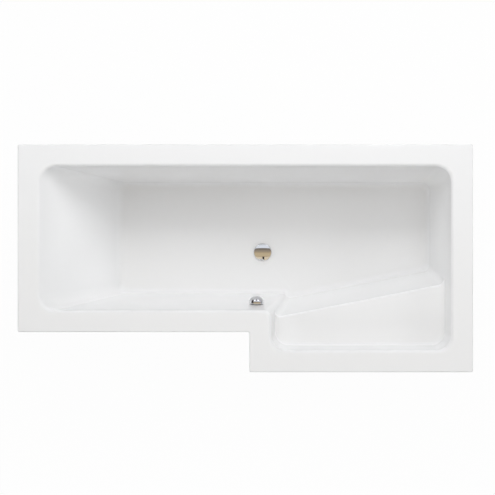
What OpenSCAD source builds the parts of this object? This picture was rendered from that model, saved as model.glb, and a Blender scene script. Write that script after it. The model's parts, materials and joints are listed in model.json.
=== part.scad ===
// Shower bath with a wide, square shower end and a narrow backrest end.
// The origin is on the floor under the middle of the rim: +X runs to the
// shower end, +Y to the wall behind the bath, and +Z up. Sizes are millimetres.

/* [Rim] */
// Length of the bath over its rim
bath_length = 1700; // [1550:10:1800]
// Depth of the bath at the shower end, front to back
shower_depth = 850; // [800:5:900]
// Depth of the bath at the narrow end, front to back
narrow_depth = 700; // [660:5:740]
// Length of the wide shower end along the front
shower_length = 835; // [740:5:900]
// Height of the rim above the floor
rim_height = 560; // [530:5:600]
// Width of the flat rim
rim_width = 80; // [74:1:90]
// Height of the turned-down edge of the rim
lip_height = 34; // [30:1:40]
// Thickness of the turned-down edge
lip_thickness = 5; // [4:0.5:6]
// Radius of the rim's corners, seen from above
rim_corner = 7; // [6:1:20]
// Radius of the rim's top outer edge
lip_radius = 4; // [2:0.5:5]
// Radius of the edge that rolls from the rim into the well
roll_radius = 12; // [8:1:16]

/* [Well] */
// Depth of the well below the rim
well_depth = 400; // [370:5:420]
// Thickness of the moulded sheet with its backing
skin = 7; // [6:0.5:8]
// How far a side wall leans in on its way down
wall_run = 57; // [40:1:70]
// How far the backrest leans in on its way down
back_run = 282; // [220:2:320]
// Radius where the side walls meet the floor
floor_fillet = 22; // [16:1:30]
// Radius where the backrest meets the floor
back_fillet = 40; // [24:1:60]
// Corner radius of the well at the rim
well_corner = 60; // [50:1:70]
// Corner radius of the well at the floor
floor_corner = 34; // [28:1:45]
// Radius of the corner that juts in where the bath steps wider, at the rim
step_corner = 30; // [24:1:34]
// Fall of the floor from its edges to the waste
floor_fall = 6; // [4:0.5:8]

/* [Shelf] */
// Depth of the shelf below the rim
shelf_depth = 118; // [100:2:150]
// Width of the shelf at its narrow end
shelf_width = 103; // [96:1:112]
// Angle between the shelf's edge and the front of the bath
shelf_angle = 11.2; // [9:0.2:13]
// Fall of the shelf towards the well
shelf_fall = 4; // [3:0.5:6]
// Radius of the shelf's edge
shelf_edge = 9; // [6:1:12]
// Radius where the shelf meets the front wall
shelf_fillet = 14; // [8:1:20]
// How far the slanting face under the shelf leans in
face_run = 58; // [50:1:64]
// Corner radius where the slanting face meets the shower end's wall
face_corner = 28; // [20:1:32]
// Radius of the small bends beside the step, under the shelf
bend_radius = 19; // [15:1:20]

/* [Base] */
// Thickness of the board bonded under the floor
board_thickness = 18; // [15:1:20]
// How far the board stays inside the edge of the floor
board_margin = 14; // [8:1:20]
// Width of the battens under the rim
batten_width = 38; // [34:1:42]
// How far the battens stand below the turned-down edge
batten_proud = 1; // [0.5:0.5:4]
// Gap between the battens and the turned-down edge
batten_gap = 3; // [1:0.5:4]
// Distance of each wall bracket from its end of the rim
wall_bracket_inset = 306; // [260:2:360]

/* [Cradle] */
// Distance of one cradle bar from the backrest end of the rim
head_bar_inset = 520; // [480:5:560]
// Distance of the other cradle bar from the shower end of the rim
shower_bar_inset = 310; // [270:5:370]
// Width of a cradle bar
bar_width = 40; // [36:1:44]
// Height of a cradle bar
bar_height = 25; // [22:1:28]
// Thickness of the steel
steel = 2; // [1.5:0.25:2.5]
// Distance of the outer feet from the edge of the rim
foot_inset = 85; // [80:1:95]
// How far a bar reaches past its feet
bar_end = 24; // [20:1:28]
// Distance of the middle foot from the step, towards the backrest end
middle_foot_back = 85; // [75:5:105]
// Height of the middle foot's bracket
bracket_height = 32; // [30:1:34]
// Radius of the threaded rods
rod_radius = 6; // [5:0.5:6]
// How far a rod stands out above its bar
rod_spare = 20; // [16:1:21]
// Radius of a foot
foot_radius = 30; // [26:1:34]
// Height of a foot
foot_height = 24; // [20:1:28]
// Number of webs that stiffen a foot
foot_webs = 8; // [6:1:10]
// Thickness of a web
web_thickness = 2.2; // [1.8:0.1:2.6]
// Width of a lock nut across its flats
nut_flats = 19; // [17:1:19]
// Height of a lock nut
nut_height = 8; // [6:1:9]
// Radius of a wood screw
screw_radius = 2.2; // [1.8:0.1:2.5]
// Length of a wood screw
screw_length = 12; // [9:1:14]

/* [Waste] */
// Distance of the waste past the step, towards the shower end
waste_past_step = 52; // [40:1:65]
// Distance of the waste behind the front of the narrow end
waste_from_front = 295; // [285:1:310]
// Radius of the hole for the waste
waste_hole = 26; // [25.5:0.5:27]
// Radius of the waste's flange
flange_radius = 34.5; // [33.5:0.5:37]
// Thickness of the waste's flange
flange_height = 3; // [2.5:0.25:3.5]
// Depth of the seat that the flange lies in
seat_depth = 2; // [1.5:0.25:2.5]
// Thickness of the upper seal
upper_seal = 1; // [0.8:0.1:1.4]
// Thickness of the lower seal
lower_seal = 4; // [3:0.5:5]
// Radius of the waste body
body_radius = 30; // [29:0.5:32]
// Wall of the waste body and the overflow body
body_wall = 3; // [2.5:0.25:3.5]
// Height of the waste body under its flange
body_height = 56; // [54:0.5:58]
// Radius of the waste body's threaded outlet
outlet_radius = 23.9; // [22:0.1:24]
// Length of the threaded outlet
outlet_length = 14; // [13:0.5:15]
// Radius of the plug's cap
plug_radius = 33.5; // [32:0.5:35]
// Height of the plug's domed cap
plug_height = 5; // [4:0.5:9]
// Radius of the plug's stem
stem_radius = 3; // [2.5:0.25:3.5]
// How far the plug rises
plug_lift = 10; // [8:0.5:11]

/* [Overflow] */
// Distance of the overflow past the step, towards the shower end
overflow_past_step = 27; // [15:1:35]
// Depth of the overflow below the rim
overflow_depth = 138; // [120:1:150]
// Radius of the hole for the overflow
overflow_hole = 26; // [25:0.5:27]
// Radius of the rosette against the wall
rosette_radius = 28; // [27.5:0.5:29]
// Thickness of the rosette
rosette_height = 1.5; // [1.25:0.25:3]
// Radius of the turning knob
knob_radius = 29.5; // [28:0.5:33]
// Length of the knob with its domed face
knob_length = 28; // [24:1:30]
// Height of the knob's domed face
knob_dome = 15; // [9:1:16]
// Radius between the knob's side and its domed face
knob_round = 3; // [1:0.5:4]
// Gap behind the knob that lets the water in
knob_gap = 3; // [2.5:0.25:6]
// Wall of the knob
knob_wall = 2.5; // [2:0.25:3]
// Radius of the knob's spindle
spindle_radius = 4; // [3.5:0.25:4.5]
// Depth of the overflow body behind the wall
cup_depth = 38; // [36:1:42]

/* [Pipes] */
// Inner radius of the overflow hose
hose_bore = 14; // [13:0.5:15]
// Radius of the hose between its ribs
hose_core = 16; // [15.5:0.25:17]
// Height of the hose's ribs
hose_rib = 2.5; // [1.5:0.25:3]
// Number of ribs on the hose
hose_ribs = 46; // [36:1:56]
// Radius of the pull cable's sheath
cable_radius = 3; // [2.5:0.25:3.5]
// Radius of the middle line of the trap's bends
trap_bend = 26; // [25.5:0.5:28]
// Bore of the trap's outlet
pipe_bore = 21.6; // [20:0.1:22]
// Depth of the trap's outlet socket
socket_depth = 32; // [28:1:34]
// Distance of the outlet's mouth behind the waste
outlet_reach = 118; // [116:1:130]

/* [Hidden] */

$fn = 48;
gap = 0.05; // radial clearance of a fit
free = 0.4; // clearance between pieces that move past each other
over = 1; // how far a cut runs past the piece it cuts
corner_steps = 8; // faces round each corner of the well
side_steps = 4; // stretches that each straight wall is cut into
roll_steps = 4; // faces round a rolled edge
foot_steps = 7; // faces where the walls meet the floor
shelf_steps = 4; // faces where the shelf meets the front wall
bend_turn = 45; // how far the short wall beside the step has turned at the floor

// ---- heights ----
floor_z = rim_height - well_depth;
seat_z = floor_z - floor_fall - seat_depth;
under_z = floor_z - floor_fall - skin;
board_z = under_z - board_thickness;
batten_z = rim_height - lip_height - batten_proud;
batten_thickness = rim_height - skin - batten_z;
edge_depth = shelf_depth + shelf_fall;
dish_radius = flange_radius + 18;

// ---- plan of the bath: walls as [direction they face away from the well, distance] ----
half_length = bath_length / 2;
half_depth = shower_depth / 2;
step_x = half_length - shower_length;
narrow_y = half_depth - narrow_depth;
waste_x = step_x + waste_past_step;
waste_y = narrow_y + waste_from_front;
waste = [waste_x, waste_y];
overflow_x = step_x + overflow_past_step;
head_bar_x = head_bar_inset - half_length;
shower_bar_x = half_length - shower_bar_inset;
middle_foot_x = step_x - middle_foot_back;

function rim_walls() = [[0, half_length], [90, half_depth], [180, half_length],
                        [270, -narrow_y], [180, -step_x], [270, half_depth]];

function meet(a, b) =
    let (s = sin(b[0] - a[0]))
    [(a[1] * sin(b[0]) - b[1] * sin(a[0])) / s,
     (b[1] * cos(a[0]) - a[1] * cos(b[0])) / s];

// Outline with rounded corners and a few points along each straight wall. A negative radius
// rounds a corner that juts in.
function outline(walls, radii, grow = 0) =
    let (n = len(walls),
         corners = [for (i = [0 : n - 1])
             let (a = walls[i],
                  b = i == n - 1 ? [360, walls[0][1]] : walls[i + 1],
                  r = radii[i] + grow,
                  centre = meet([a[0], a[1] + grow - r], [b[0], b[1] + grow - r]))
             [for (k = [0 : corner_steps])
                 let (t = a[0] + (b[0] - a[0]) * k / corner_steps)
                 centre + r * [cos(t), sin(t)]]])
    [for (i = [0 : n - 1])
        let (from = corners[i][corner_steps], to = corners[(i + 1) % n][0])
        each concat(corners[i],
                    [for (k = [1 : side_steps - 1]) from + (to - from) * k / side_steps])];

// How far a leaning wall has come in at a depth below its top: it starts with
// the rolled edge and ends with the fillet onto the floor.
function wall_inset(depth, run, height, fillet, roll) =
    let (lean = atan2(run, height),
         rise = height - depth,
         foot = run + fillet * (1 / cos(lean) - tan(lean)))
    depth < roll * (1 - sin(lean))
        ? sqrt(depth * (2 * roll - depth)) - roll * tan(45 - lean / 2)
        : rise > fillet * (1 - sin(lean))
            ? run * depth / height
            : foot - sqrt(max(0, rise * (2 * fillet - rise)));

function side_inset(depth) = wall_inset(depth, wall_run, well_depth, floor_fillet, roll_radius);
function back_inset(depth) = wall_inset(depth, back_run, well_depth, back_fillet, roll_radius);
function face_inset(depth) =
    wall_inset(depth - edge_depth, face_run, well_depth - edge_depth, floor_fillet, shelf_edge);

// Front wall above the shelf, and the slanting face below it.
shelf_run = wall_run * shelf_depth / well_depth;
function front_wall(depth) =
    [270, half_depth - rim_width
          - wall_inset(depth, shelf_run, shelf_depth, shelf_fillet, roll_radius)];

well_step_x = step_x + rim_width;
well_front_y = rim_width - half_depth;
slant = [270 + shelf_angle, 0];
function along(direction, point) = point * [cos(direction), sin(direction)];
edge_start = [well_step_x + side_inset(edge_depth), well_front_y + shelf_run + shelf_width];
edge_distance = along(slant[0], edge_start);
function face_wall(depth) = [slant[0], edge_distance - face_inset(depth)];

// Short wall where the bath steps wider: it turns as it goes down below the shelf.
function step_wall(depth) =
    let (down = max(0, depth - edge_depth) / (well_depth - edge_depth),
         turn = 180 + bend_turn * down,
         corner = [well_step_x, narrow_y + rim_width] + side_inset(depth) * [1, 1])
    [turn, along(turn, corner)];

function well_walls(depth, front) =
    [[0, half_length - rim_width - side_inset(depth)],
     [90, half_depth - rim_width - side_inset(depth)],
     [180, half_length - rim_width - back_inset(depth)],
     [270, -narrow_y - rim_width - side_inset(depth)],
     step_wall(depth),
     front];

function blend(a, b, share) = a + (b - a) * share;
function well_radii(depth, slanted) =
    let (down = depth / well_depth,
         round = blend(well_corner, floor_corner, down),
         jut = blend(step_corner, bend_radius, min(1, depth / edge_depth)))
    [round, round, round, -jut, slanted ? bend_radius : round, slanted ? face_corner : round];

// ---- rings of the well, from the rim down: [depth, front wall, slanted or not] ----
function steps(count) = [for (i = [0 : count]) i / count];
flat_zone = 60;
side_lean = atan2(wall_run, well_depth);
fillet_rise = floor_fillet * (1 - sin(side_lean));
shelf_rise = shelf_fillet * (1 - sin(side_lean));
roll_turn = 90 - side_lean;
upper_depths = concat(
    [for (s = steps(roll_steps)) roll_radius * (1 - cos(roll_turn * s))],
    [for (s = steps(shelf_steps)) shelf_depth - shelf_rise * pow(1 - s, 2)]);
lower_depths = concat(
    [for (s = steps(roll_steps)) edge_depth + shelf_edge * (1 - cos(roll_turn * s))],
    [well_depth - flat_zone],
    [for (s = steps(foot_steps)) well_depth - fillet_rise * pow(1 - s, 2)]);
well_rings = concat(
    [for (d = upper_depths) [d, front_wall(d), false]],
    [for (d = lower_depths) [d, face_wall(d), true]]);

function well_outline(ring, grow = 0) =
    outline(well_walls(ring[0], ring[1]), well_radii(ring[0], ring[2]), grow);
floor_ring = well_rings[len(well_rings) - 1];

function lift(points, z) = [for (p = points) [p[0], p[1], z]];
function rim_outline(grow) =
    outline(rim_walls(), [rim_corner, rim_corner, rim_corner, -rim_corner, rim_corner,
                          rim_corner], grow);
// Circle round the waste with one point for each point of the floor's edge.
function dish(radius) =
    [for (p = well_outline(floor_ring)) waste + radius * (p - waste) / norm(p - waste)];

// The underside follows the well a skin's thickness out and down; over the flat zone, which
// ends at the floor, it comes down to the level of the waste.
function under(depth) =
    rim_height - depth - skin
    - floor_fall * max(0, depth - well_depth + flat_zone) / flat_zone;

lip_steps = 3;
inner_rings = [for (i = [len(well_rings) - 1 : -1 : 0])
    lift(well_outline(well_rings[i]), rim_height - well_rings[i][0])];
lip_rings = concat(
    [for (s = steps(lip_steps))
        lift(rim_outline(-lip_radius * (1 - sin(90 * s))),
             rim_height - lip_radius * (1 - cos(90 * s)))],
    [lift(rim_outline(0), rim_height - lip_height),
     lift(rim_outline(-lip_thickness), rim_height - lip_height),
     lift(rim_outline(-lip_thickness), rim_height - skin)]);
outer_rings = [for (ring = well_rings) lift(well_outline(ring, skin), under(ring[0]))];
shell_rings = concat(
    [lift(dish(dish_radius), floor_z - floor_fall)],
    inner_rings, lip_rings, outer_rings,
    [lift(dish(dish_radius), under_z)]);

// Closed solid through rings with the same number of points, from pole to pole.
module lofted(rings, start, end) {
    n = len(rings[0]);
    last = len(rings) * n;
    points = concat([for (ring = rings) each ring], [start, end]);
    sides = [for (i = [0 : len(rings) - 2], j = [0 : n - 1])
        let (a = i * n + j, b = i * n + (j + 1) % n)
        each [[a, a + n, b + n], [a, b + n, b]]];
    caps = [for (j = [0 : n - 1])
        let (k = (j + 1) % n)
        each [[last, j, k], [last + 1, last - n + k, last - n + j]]];
    polyhedron(points = points, faces = concat(sides, caps));
}

// ---- places that several pieces share ----
wall_thickness = skin * (cos(side_lean) + sin(side_lean));
overflow_place = [overflow_x,
                  narrow_y + rim_width + side_inset(overflow_depth),
                  rim_height - overflow_depth];
// At the overflow, with +Z out of the wall into the well.
module at_overflow() translate(overflow_place) rotate([side_lean - 90, 0, 0]) children();
// At the middle of the waste's seat.
module at_waste() translate([waste_x, waste_y, seat_z]) children();

module ring(outer, inner, height) {
    difference() {
        cylinder(r = outer, h = height);
        translate([0, 0, -over]) cylinder(r = inner, h = height + 2 * over);
    }
}

// ---- the bath ----
module tub_shell() {
    color("white")
    difference() {
        lofted(shell_rings,
               [waste_x, waste_y, floor_z - floor_fall],
               [waste_x, waste_y, under_z]);
        at_waste() {
            cylinder(r = flange_radius + free, h = seat_depth + over);
            translate([0, 0, -skin - over]) cylinder(r = waste_hole, h = skin + 2 * over);
        }
        at_overflow()
            translate([0, 0, -wall_thickness - over])
            cylinder(r = overflow_hole, h = wall_thickness + 2 * over);
    }
}

board_hole = 48;
module base_board() {
    color("burlywood")
    difference() {
        translate([0, 0, board_z])
            linear_extrude(board_thickness)
            difference() {
                polygon(well_outline(floor_ring, -board_margin));
                translate(waste) circle(r = board_hole);
            }
        screw_places() translate([0, 0, -over]) cylinder(r = screw_radius + gap, h = screw_length + over);
    }
}

// ---- battens under the rim, given by two opposite corners seen from above ----
batten_edge = lip_thickness + batten_gap;
batten_joint = 2; // gap where two battens meet
module batten(low, high) {
    color("burlywood")
    translate([low[0], low[1], batten_z])
        cube([high[0] - low[0], high[1] - low[1], batten_thickness]);
}
batten_x = half_length - batten_edge;
batten_y = half_depth - batten_edge;
inner_x = batten_x - batten_width;
inner_y = batten_y - batten_width;
side_y = narrow_y + batten_edge;
step_batten_x = step_x + batten_edge;

module rear_batten() {
    difference() {
        batten([-batten_x, inner_y], [batten_x, batten_y]);
        at_brackets() for (x = [-1, 1])
            translate([x * screw_side, 0, -over])
            cylinder(r = screw_radius + gap, h = screw_length + over);
    }
}
module end_batten()
    batten([-batten_x, side_y + batten_width + batten_joint], [-inner_x, inner_y - batten_joint]);
module shower_batten()
    batten([inner_x, -inner_y + batten_joint], [batten_x, inner_y - batten_joint]);
module front_batten() batten([step_batten_x, -batten_y], [batten_x, -inner_y]);
module side_batten() batten([-batten_x, side_y], [step_batten_x + batten_width, side_y + batten_width]);
module step_batten()
    batten([step_batten_x, -inner_y + batten_joint],
           [step_batten_x + batten_width, side_y - batten_joint]);

// ---- cradle ----
rear_foot_y = half_depth - foot_inset;
side_foot_y = narrow_y + foot_inset;
front_foot_y = foot_inset - half_depth;
middle_foot_y = (rear_foot_y + side_foot_y) / 2;
bracket_z = board_z - bracket_height;
feet = [[head_bar_x, rear_foot_y, board_z], [head_bar_x, side_foot_y, board_z],
        [shower_bar_x, rear_foot_y, board_z], [shower_bar_x, front_foot_y, board_z],
        [middle_foot_x, middle_foot_y, bracket_z + steel]];
bracket_half = 26; // half the width of the middle bracket's raised part
bracket_flange = 24;
bracket_length = 60;
screw_rows = 70; // distance from a bar's screws to the middle of its board stretch
screw_side = 11; // distance of the screws from the middle of a bar
bracket_screw = bracket_half + bracket_flange / 2;
screw_spots = concat(
    [for (x = [head_bar_x, shower_bar_x], y = [-1, 1], side = [-1, 1])
        [x + side * screw_side, middle_foot_y + y * screw_rows]],
    [for (y = [-1, 1], side = [-1, 1])
        [middle_foot_x + side * bracket_screw, middle_foot_y + y * bracket_length / 3]]);

module screw_places()
    for (spot = screw_spots) translate([spot[0], spot[1], board_z]) children();

module channel(low_y, high_y) {
    reach = high_y - low_y;
    translate([0, low_y, board_z - bar_height])
        difference() {
            translate([-bar_width / 2, 0, 0]) cube([bar_width, reach, bar_height]);
            translate([-bar_width / 2 + steel, -over, -over])
                cube([bar_width - 2 * steel, reach + 2 * over, bar_height - steel + over]);
        }
}

module cradle_bar(x, low_y, high_y) {
    color("silver")
    difference() {
        translate([x, 0, 0]) channel(low_y - bar_end, high_y + bar_end);
        for (y = [low_y, high_y])
            translate([x, y, board_z - steel - over])
            cylinder(r = rod_radius + free, h = steel + 2 * over);
        screw_places() translate([0, 0, -steel - over])
            cylinder(r = screw_radius + gap, h = steel + 2 * over);
    }
}
module head_cradle_bar() cradle_bar(head_bar_x, side_foot_y, rear_foot_y);
module shower_cradle_bar() cradle_bar(shower_bar_x, front_foot_y, rear_foot_y);

module middle_bracket() {
    half = bracket_half + bracket_flange;
    profile = [[-half, 0], [-half, -steel], [-bracket_half, -steel],
               [-bracket_half, -bracket_height], [bracket_half, -bracket_height],
               [bracket_half, -steel], [half, -steel], [half, 0],
               [bracket_half - steel, 0], [bracket_half - steel, steel - bracket_height],
               [steel - bracket_half, steel - bracket_height], [steel - bracket_half, 0]];
    color("silver")
    difference() {
        translate([middle_foot_x, middle_foot_y + bracket_length / 2, board_z])
            rotate([90, 0, 0])
            linear_extrude(bracket_length)
            polygon(profile);
        translate([middle_foot_x, middle_foot_y, bracket_z - over])
            cylinder(r = rod_radius + free, h = steel + 2 * over);
        screw_places() translate([0, 0, -steel - over])
            cylinder(r = screw_radius + gap, h = steel + 2 * over);
    }
}

head_height = 2.4;
// Screw through a sheet of steel whose thickness lies below it.
module wood_screw(below) {
    translate([0, 0, -below]) cylinder(r = screw_radius, h = below + screw_length - over);
    translate([0, 0, -below - head_height])
        cylinder(r1 = screw_radius + 1, r2 = 2 * screw_radius, h = head_height);
}
module cradle_screws() color("silver") screw_places() wood_screw(steel);

module lock_nut() {
    difference() {
        cylinder(r = nut_flats / 2 / cos(30), h = nut_height, $fn = 6);
        translate([0, 0, -over]) cylinder(r = rod_radius + gap, h = nut_height + 2 * over);
    }
}
module lock_nuts() {
    color("silver")
    for (foot = feet) {
        translate(foot) lock_nut();
        translate(foot - [0, 0, steel + nut_height]) lock_nut();
    }
}

socket_floor = 7;
module foot_rod(i) {
    top = feet[i][2] + rod_spare;
    color("silver")
    translate([feet[i][0], feet[i][1], socket_floor]) {
        cylinder(r = rod_radius, h = top - socket_floor - over);
        translate([0, 0, top - socket_floor - over])
            cylinder(r1 = rod_radius, r2 = rod_radius - over, h = over);
    }
}
// A moulded dish with a neck for the rod, and upright webs between them.
module foot_pad(i) {
    neck = rod_radius + 5;
    rim = foot_radius - 5;
    color("dimgray")
    translate([feet[i][0], feet[i][1], 0]) {
        rotate_extrude()
            polygon([[0, 0], [foot_radius - 2, 0], [foot_radius, 2], [foot_radius, 4],
                     [foot_radius - 1, 5], [rim - 2, 6.8], [neck + 4, 8.5],
                     [neck + 1.2, 9.7], [neck, 12.5],
                     [neck, foot_height], [rod_radius + gap, foot_height],
                     [rod_radius + gap, socket_floor], [0, socket_floor]]);
        for (k = [1 : foot_webs])
            rotate(360 * k / foot_webs)
            translate([0, web_thickness / 2, 0])
            rotate([90, 0, 0])
            linear_extrude(web_thickness)
            polygon([[neck - 1, 5], [rim, 5], [rim - 2.5, 8.5],
                     [neck + 2, foot_height - 6], [neck - 1, foot_height - 5]]);
    }
}
module foot_rod_1() foot_rod(0);
module foot_rod_2() foot_rod(1);
module foot_rod_3() foot_rod(2);
module foot_rod_4() foot_rod(3);
module foot_rod_5() foot_rod(4);
module foot_pad_1() foot_pad(0);
module foot_pad_2() foot_pad(1);
module foot_pad_3() foot_pad(2);
module foot_pad_4() foot_pad(3);
module foot_pad_5() foot_pad(4);

// ---- brackets that fix the rear of the rim to the wall ----
bracket_width = 36;
bracket_drop = 60;
bracket_places = [wall_bracket_inset - half_length, half_length - wall_bracket_inset];
module at_brackets()
    for (x = bracket_places) translate([x, batten_y - batten_width / 2, batten_z]) children();
module wall_brackets() {
    reach = half_depth - (batten_y - batten_width / 2);
    inner = -batten_width / 2 + 2;
    wall_hole = 3.2;
    hole_rise = 14; // height of the wall holes above the bracket's lower end
    color("silver")
    at_brackets()
        difference() {
            translate([-bracket_width / 2, 0, 0])
                rotate([90, 0, 90])
                linear_extrude(bracket_width)
                polygon([[inner, 0], [reach, 0], [reach, -bracket_drop],
                         [reach - steel, -bracket_drop], [reach - steel, -steel], [inner, -steel]]);
            for (x = [-1, 1]) {
                translate([x * screw_side, 0, -steel - over])
                    cylinder(r = screw_radius + gap, h = steel + 2 * over);
                translate([x * screw_side, reach + over, hole_rise - bracket_drop])
                    rotate([90, 0, 0])
                    cylinder(r = wall_hole, h = steel + 2 * over);
            }
        }
}
module bracket_screws() {
    color("silver")
    at_brackets() for (x = [-1, 1]) translate([x * screw_side, 0, 0]) wood_screw(steel);
}

// ---- waste ----
hub_radius = 9;
sleeve_radius = 6;
grid_z = -22; // top of the flange's cross
grid_height = 4;
hub_z = -34; // top of the body's hub
hub_height = 5;
neck_radius = waste_hole - 1.5;
floor_under = -(skin - seat_depth);
body_top = floor_under - lower_seal;
body_flange = flange_radius + 1;
body_floor = body_top - body_height;

module spokes(reach, height, width) {
    for (a = [0, 90])
        rotate(a) translate([-reach, -width / 2, 0]) cube([2 * reach, width, height]);
}

module waste_flange() {
    bevel = 1.2;
    color("gainsboro")
    at_waste()
        difference() {
            union() {
                rotate_extrude()
                    polygon([[neck_radius - 2.5, grid_z - grid_height],
                             [neck_radius, grid_z - grid_height],
                             [neck_radius, upper_seal], [flange_radius, upper_seal],
                             [flange_radius, upper_seal + flange_height - bevel],
                             [flange_radius - bevel, upper_seal + flange_height],
                             [neck_radius - 1, upper_seal + flange_height],
                             [neck_radius - 2.5, upper_seal]]);
                translate([0, 0, grid_z - grid_height])
                    spokes(neck_radius - 1, grid_height, 4);
                translate([0, 0, grid_z - grid_height]) cylinder(r = hub_radius, h = grid_height);
            }
            translate([0, 0, grid_z - grid_height - over])
                cylinder(r = sleeve_radius + gap, h = grid_height + 2 * over);
        }
}
module waste_upper_seal()
    color("dimgray") at_waste() ring(flange_radius - 2, waste_hole, upper_seal);
module waste_lower_seal()
    color("dimgray") at_waste() translate([0, 0, body_top]) ring(body_flange - 1, waste_hole, lower_seal);

rocker_radius = 4;
rocker_z = body_floor + body_wall + rocker_radius + 3;
rocker_y = body_radius - body_wall - rocker_radius - 1; // from the stem to the rocker's spindle
collar_radius = hose_bore + body_wall + 1;
branch_z = body_floor + collar_radius + 2;
branch_collar = body_radius + 4;
branch_reach = branch_collar + 12;
bearing_reach = body_radius + 8;
module waste_body() {
    flange_thickness = 5;
    inner = body_radius - body_wall;
    color("gray")
    at_waste()
        difference() {
            union() {
                translate([0, 0, body_floor]) cylinder(r = body_radius, h = body_height);
                translate([0, 0, body_top - flange_thickness])
                    cylinder(r = body_flange, h = flange_thickness);
                translate([0, 0, body_floor - outlet_length])
                    cylinder(r = outlet_radius, h = outlet_length + over);
                translate([0, 0, branch_z]) rotate([90, 0, 0])
                    cylinder(r = collar_radius, h = branch_collar);
                translate([0, 0, branch_z]) rotate([90, 0, 0])
                    cylinder(r = hose_bore - free, h = branch_reach);
                translate([0, rocker_y, rocker_z]) rotate([0, 90, 0])
                    cylinder(r = rocker_radius + body_wall, h = bearing_reach);
            }
            difference() {
                translate([0, 0, body_floor + body_wall])
                    cylinder(r = inner, h = body_height);
                translate([0, 0, hub_z - hub_height]) {
                    spokes(inner + over, hub_height, 4);
                    cylinder(r = hub_radius, h = hub_height);
                }
            }
            translate([0, 0, hub_z - hub_height - over])
                cylinder(r = sleeve_radius + gap, h = hub_height + 2 * over);
            translate([0, 0, body_floor - outlet_length - over])
                cylinder(r = outlet_radius - body_wall, h = outlet_length + body_wall + 2 * over);
            translate([0, 0, branch_z]) rotate([90, 0, 0])
                cylinder(r = hose_bore - body_wall, h = branch_reach + over);
            translate([0, rocker_y, rocker_z]) rotate([0, 90, 0])
                cylinder(r = rocker_radius + gap, h = bearing_reach + over);
        }
}

sleeve_head = 3;
module clamp_sleeve() {
    color("silver")
    at_waste()
        difference() {
            union() {
                translate([0, 0, hub_z - hub_height])
                    cylinder(r = sleeve_radius, h = grid_z - hub_z + hub_height);
                translate([0, 0, grid_z]) cylinder(r = hub_radius, h = sleeve_head);
            }
            translate([0, 0, hub_z - hub_height - over])
                cylinder(r = stem_radius + gap,
                         h = grid_z - hub_z + hub_height + sleeve_head + 2 * over);
        }
}

flange_top = upper_seal + flange_height;
seal_height = 2.5;
cap_z = flange_top + free + seal_height; // underside of the cap with the plug closed
stem_end = rocker_z + rocker_radius;
dome_radius = (plug_radius * plug_radius + plug_height * plug_height) / 2 / plug_height;
module plug_cap() {
    lip = 1.5;
    color("gainsboro")
    at_waste()
        translate([0, 0, cap_z])
        rotate_extrude() intersection() {
            translate([0, plug_height + lip - dome_radius]) circle(r = dome_radius, $fn = 240);
            square([plug_radius, plug_height + lip]);
        }
}
module plug_seal()
    color("dimgray") at_waste() translate([0, 0, flange_top + free])
        ring(plug_radius - 3, hub_radius, seal_height);
module plug_stem() {
    color("silver")
    at_waste() {
        translate([0, 0, stem_end + free]) cylinder(r = stem_radius, h = cap_z - stem_end - free);
        translate([0, 0, cap_z - 5]) cylinder(r = hub_radius - free, h = 5);
    }
}

// ---- rocker that lifts the plug, turned by the cable inside its cover ----
finger_width = 7;
finger_end = 2; // how far the finger reaches past the stem
arm_length = 16;
arm_width = 6;
arm_thickness = 4;
cover_length = 14;
cover_height = 34;
cover_wall = 2;
arm_x = bearing_reach + free + cover_wall + 1;
module lift_rocker() {
    color("dimgray")
    at_waste()
        translate([0, rocker_y, rocker_z]) {
            rotate([0, 90, 0]) translate([0, 0, -finger_width / 2])
                cylinder(r = rocker_radius, h = arm_x + arm_thickness + 1 + finger_width / 2);
            translate([-finger_width / 2, -rocker_y - finger_end, -1])
                cube([finger_width, rocker_y + finger_end, rocker_radius + 1]);
            translate([arm_x, -arm_width / 2, -arm_length])
                cube([arm_thickness, arm_width, arm_length]);
        }
}
cover_low = -arm_length - 4;
cover_half = 17;
module rocker_cover() {
    color("gray")
    at_waste()
        translate([0, rocker_y, rocker_z])
        difference() {
            translate([bearing_reach, -cover_half, cover_low])
                cube([cover_length, 2 * cover_half, cover_height]);
            translate([bearing_reach + cover_wall, cover_wall - cover_half, cover_low + cover_wall])
                cube([cover_length - 2 * cover_wall, 2 * (cover_half - cover_wall),
                      cover_height - 2 * cover_wall]);
            translate([bearing_reach - over, 0, 0]) rotate([0, 90, 0])
                cylinder(r = rocker_radius + free, h = cover_wall + 2 * over);
            translate([bearing_reach + cover_length / 2, cover_wall - cover_half, cable_z])
                rotate([90, 0, 0]) cylinder(r = cable_radius + gap, h = cover_wall + over);
        }
}
cable_z = cover_low + 9; // height of the cable's hole in the cover

// ---- overflow ----
neck_outer = overflow_hole - 1.5;
cup_radius = overflow_hole + 8;
seal_thickness = 4;
cup_top = -wall_thickness - seal_thickness;
cup_floor = cup_top - cup_depth;
boss_spread = 15;
boss_radius = 5;
rosette_neck = neck_outer - 3; // bore of the rosette
rosette_screw = 2.2; // radius of the screws that hold the rosette
screw_grip = 8; // how far these screws reach into their bosses
knob_z = rosette_height + knob_gap;

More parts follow.
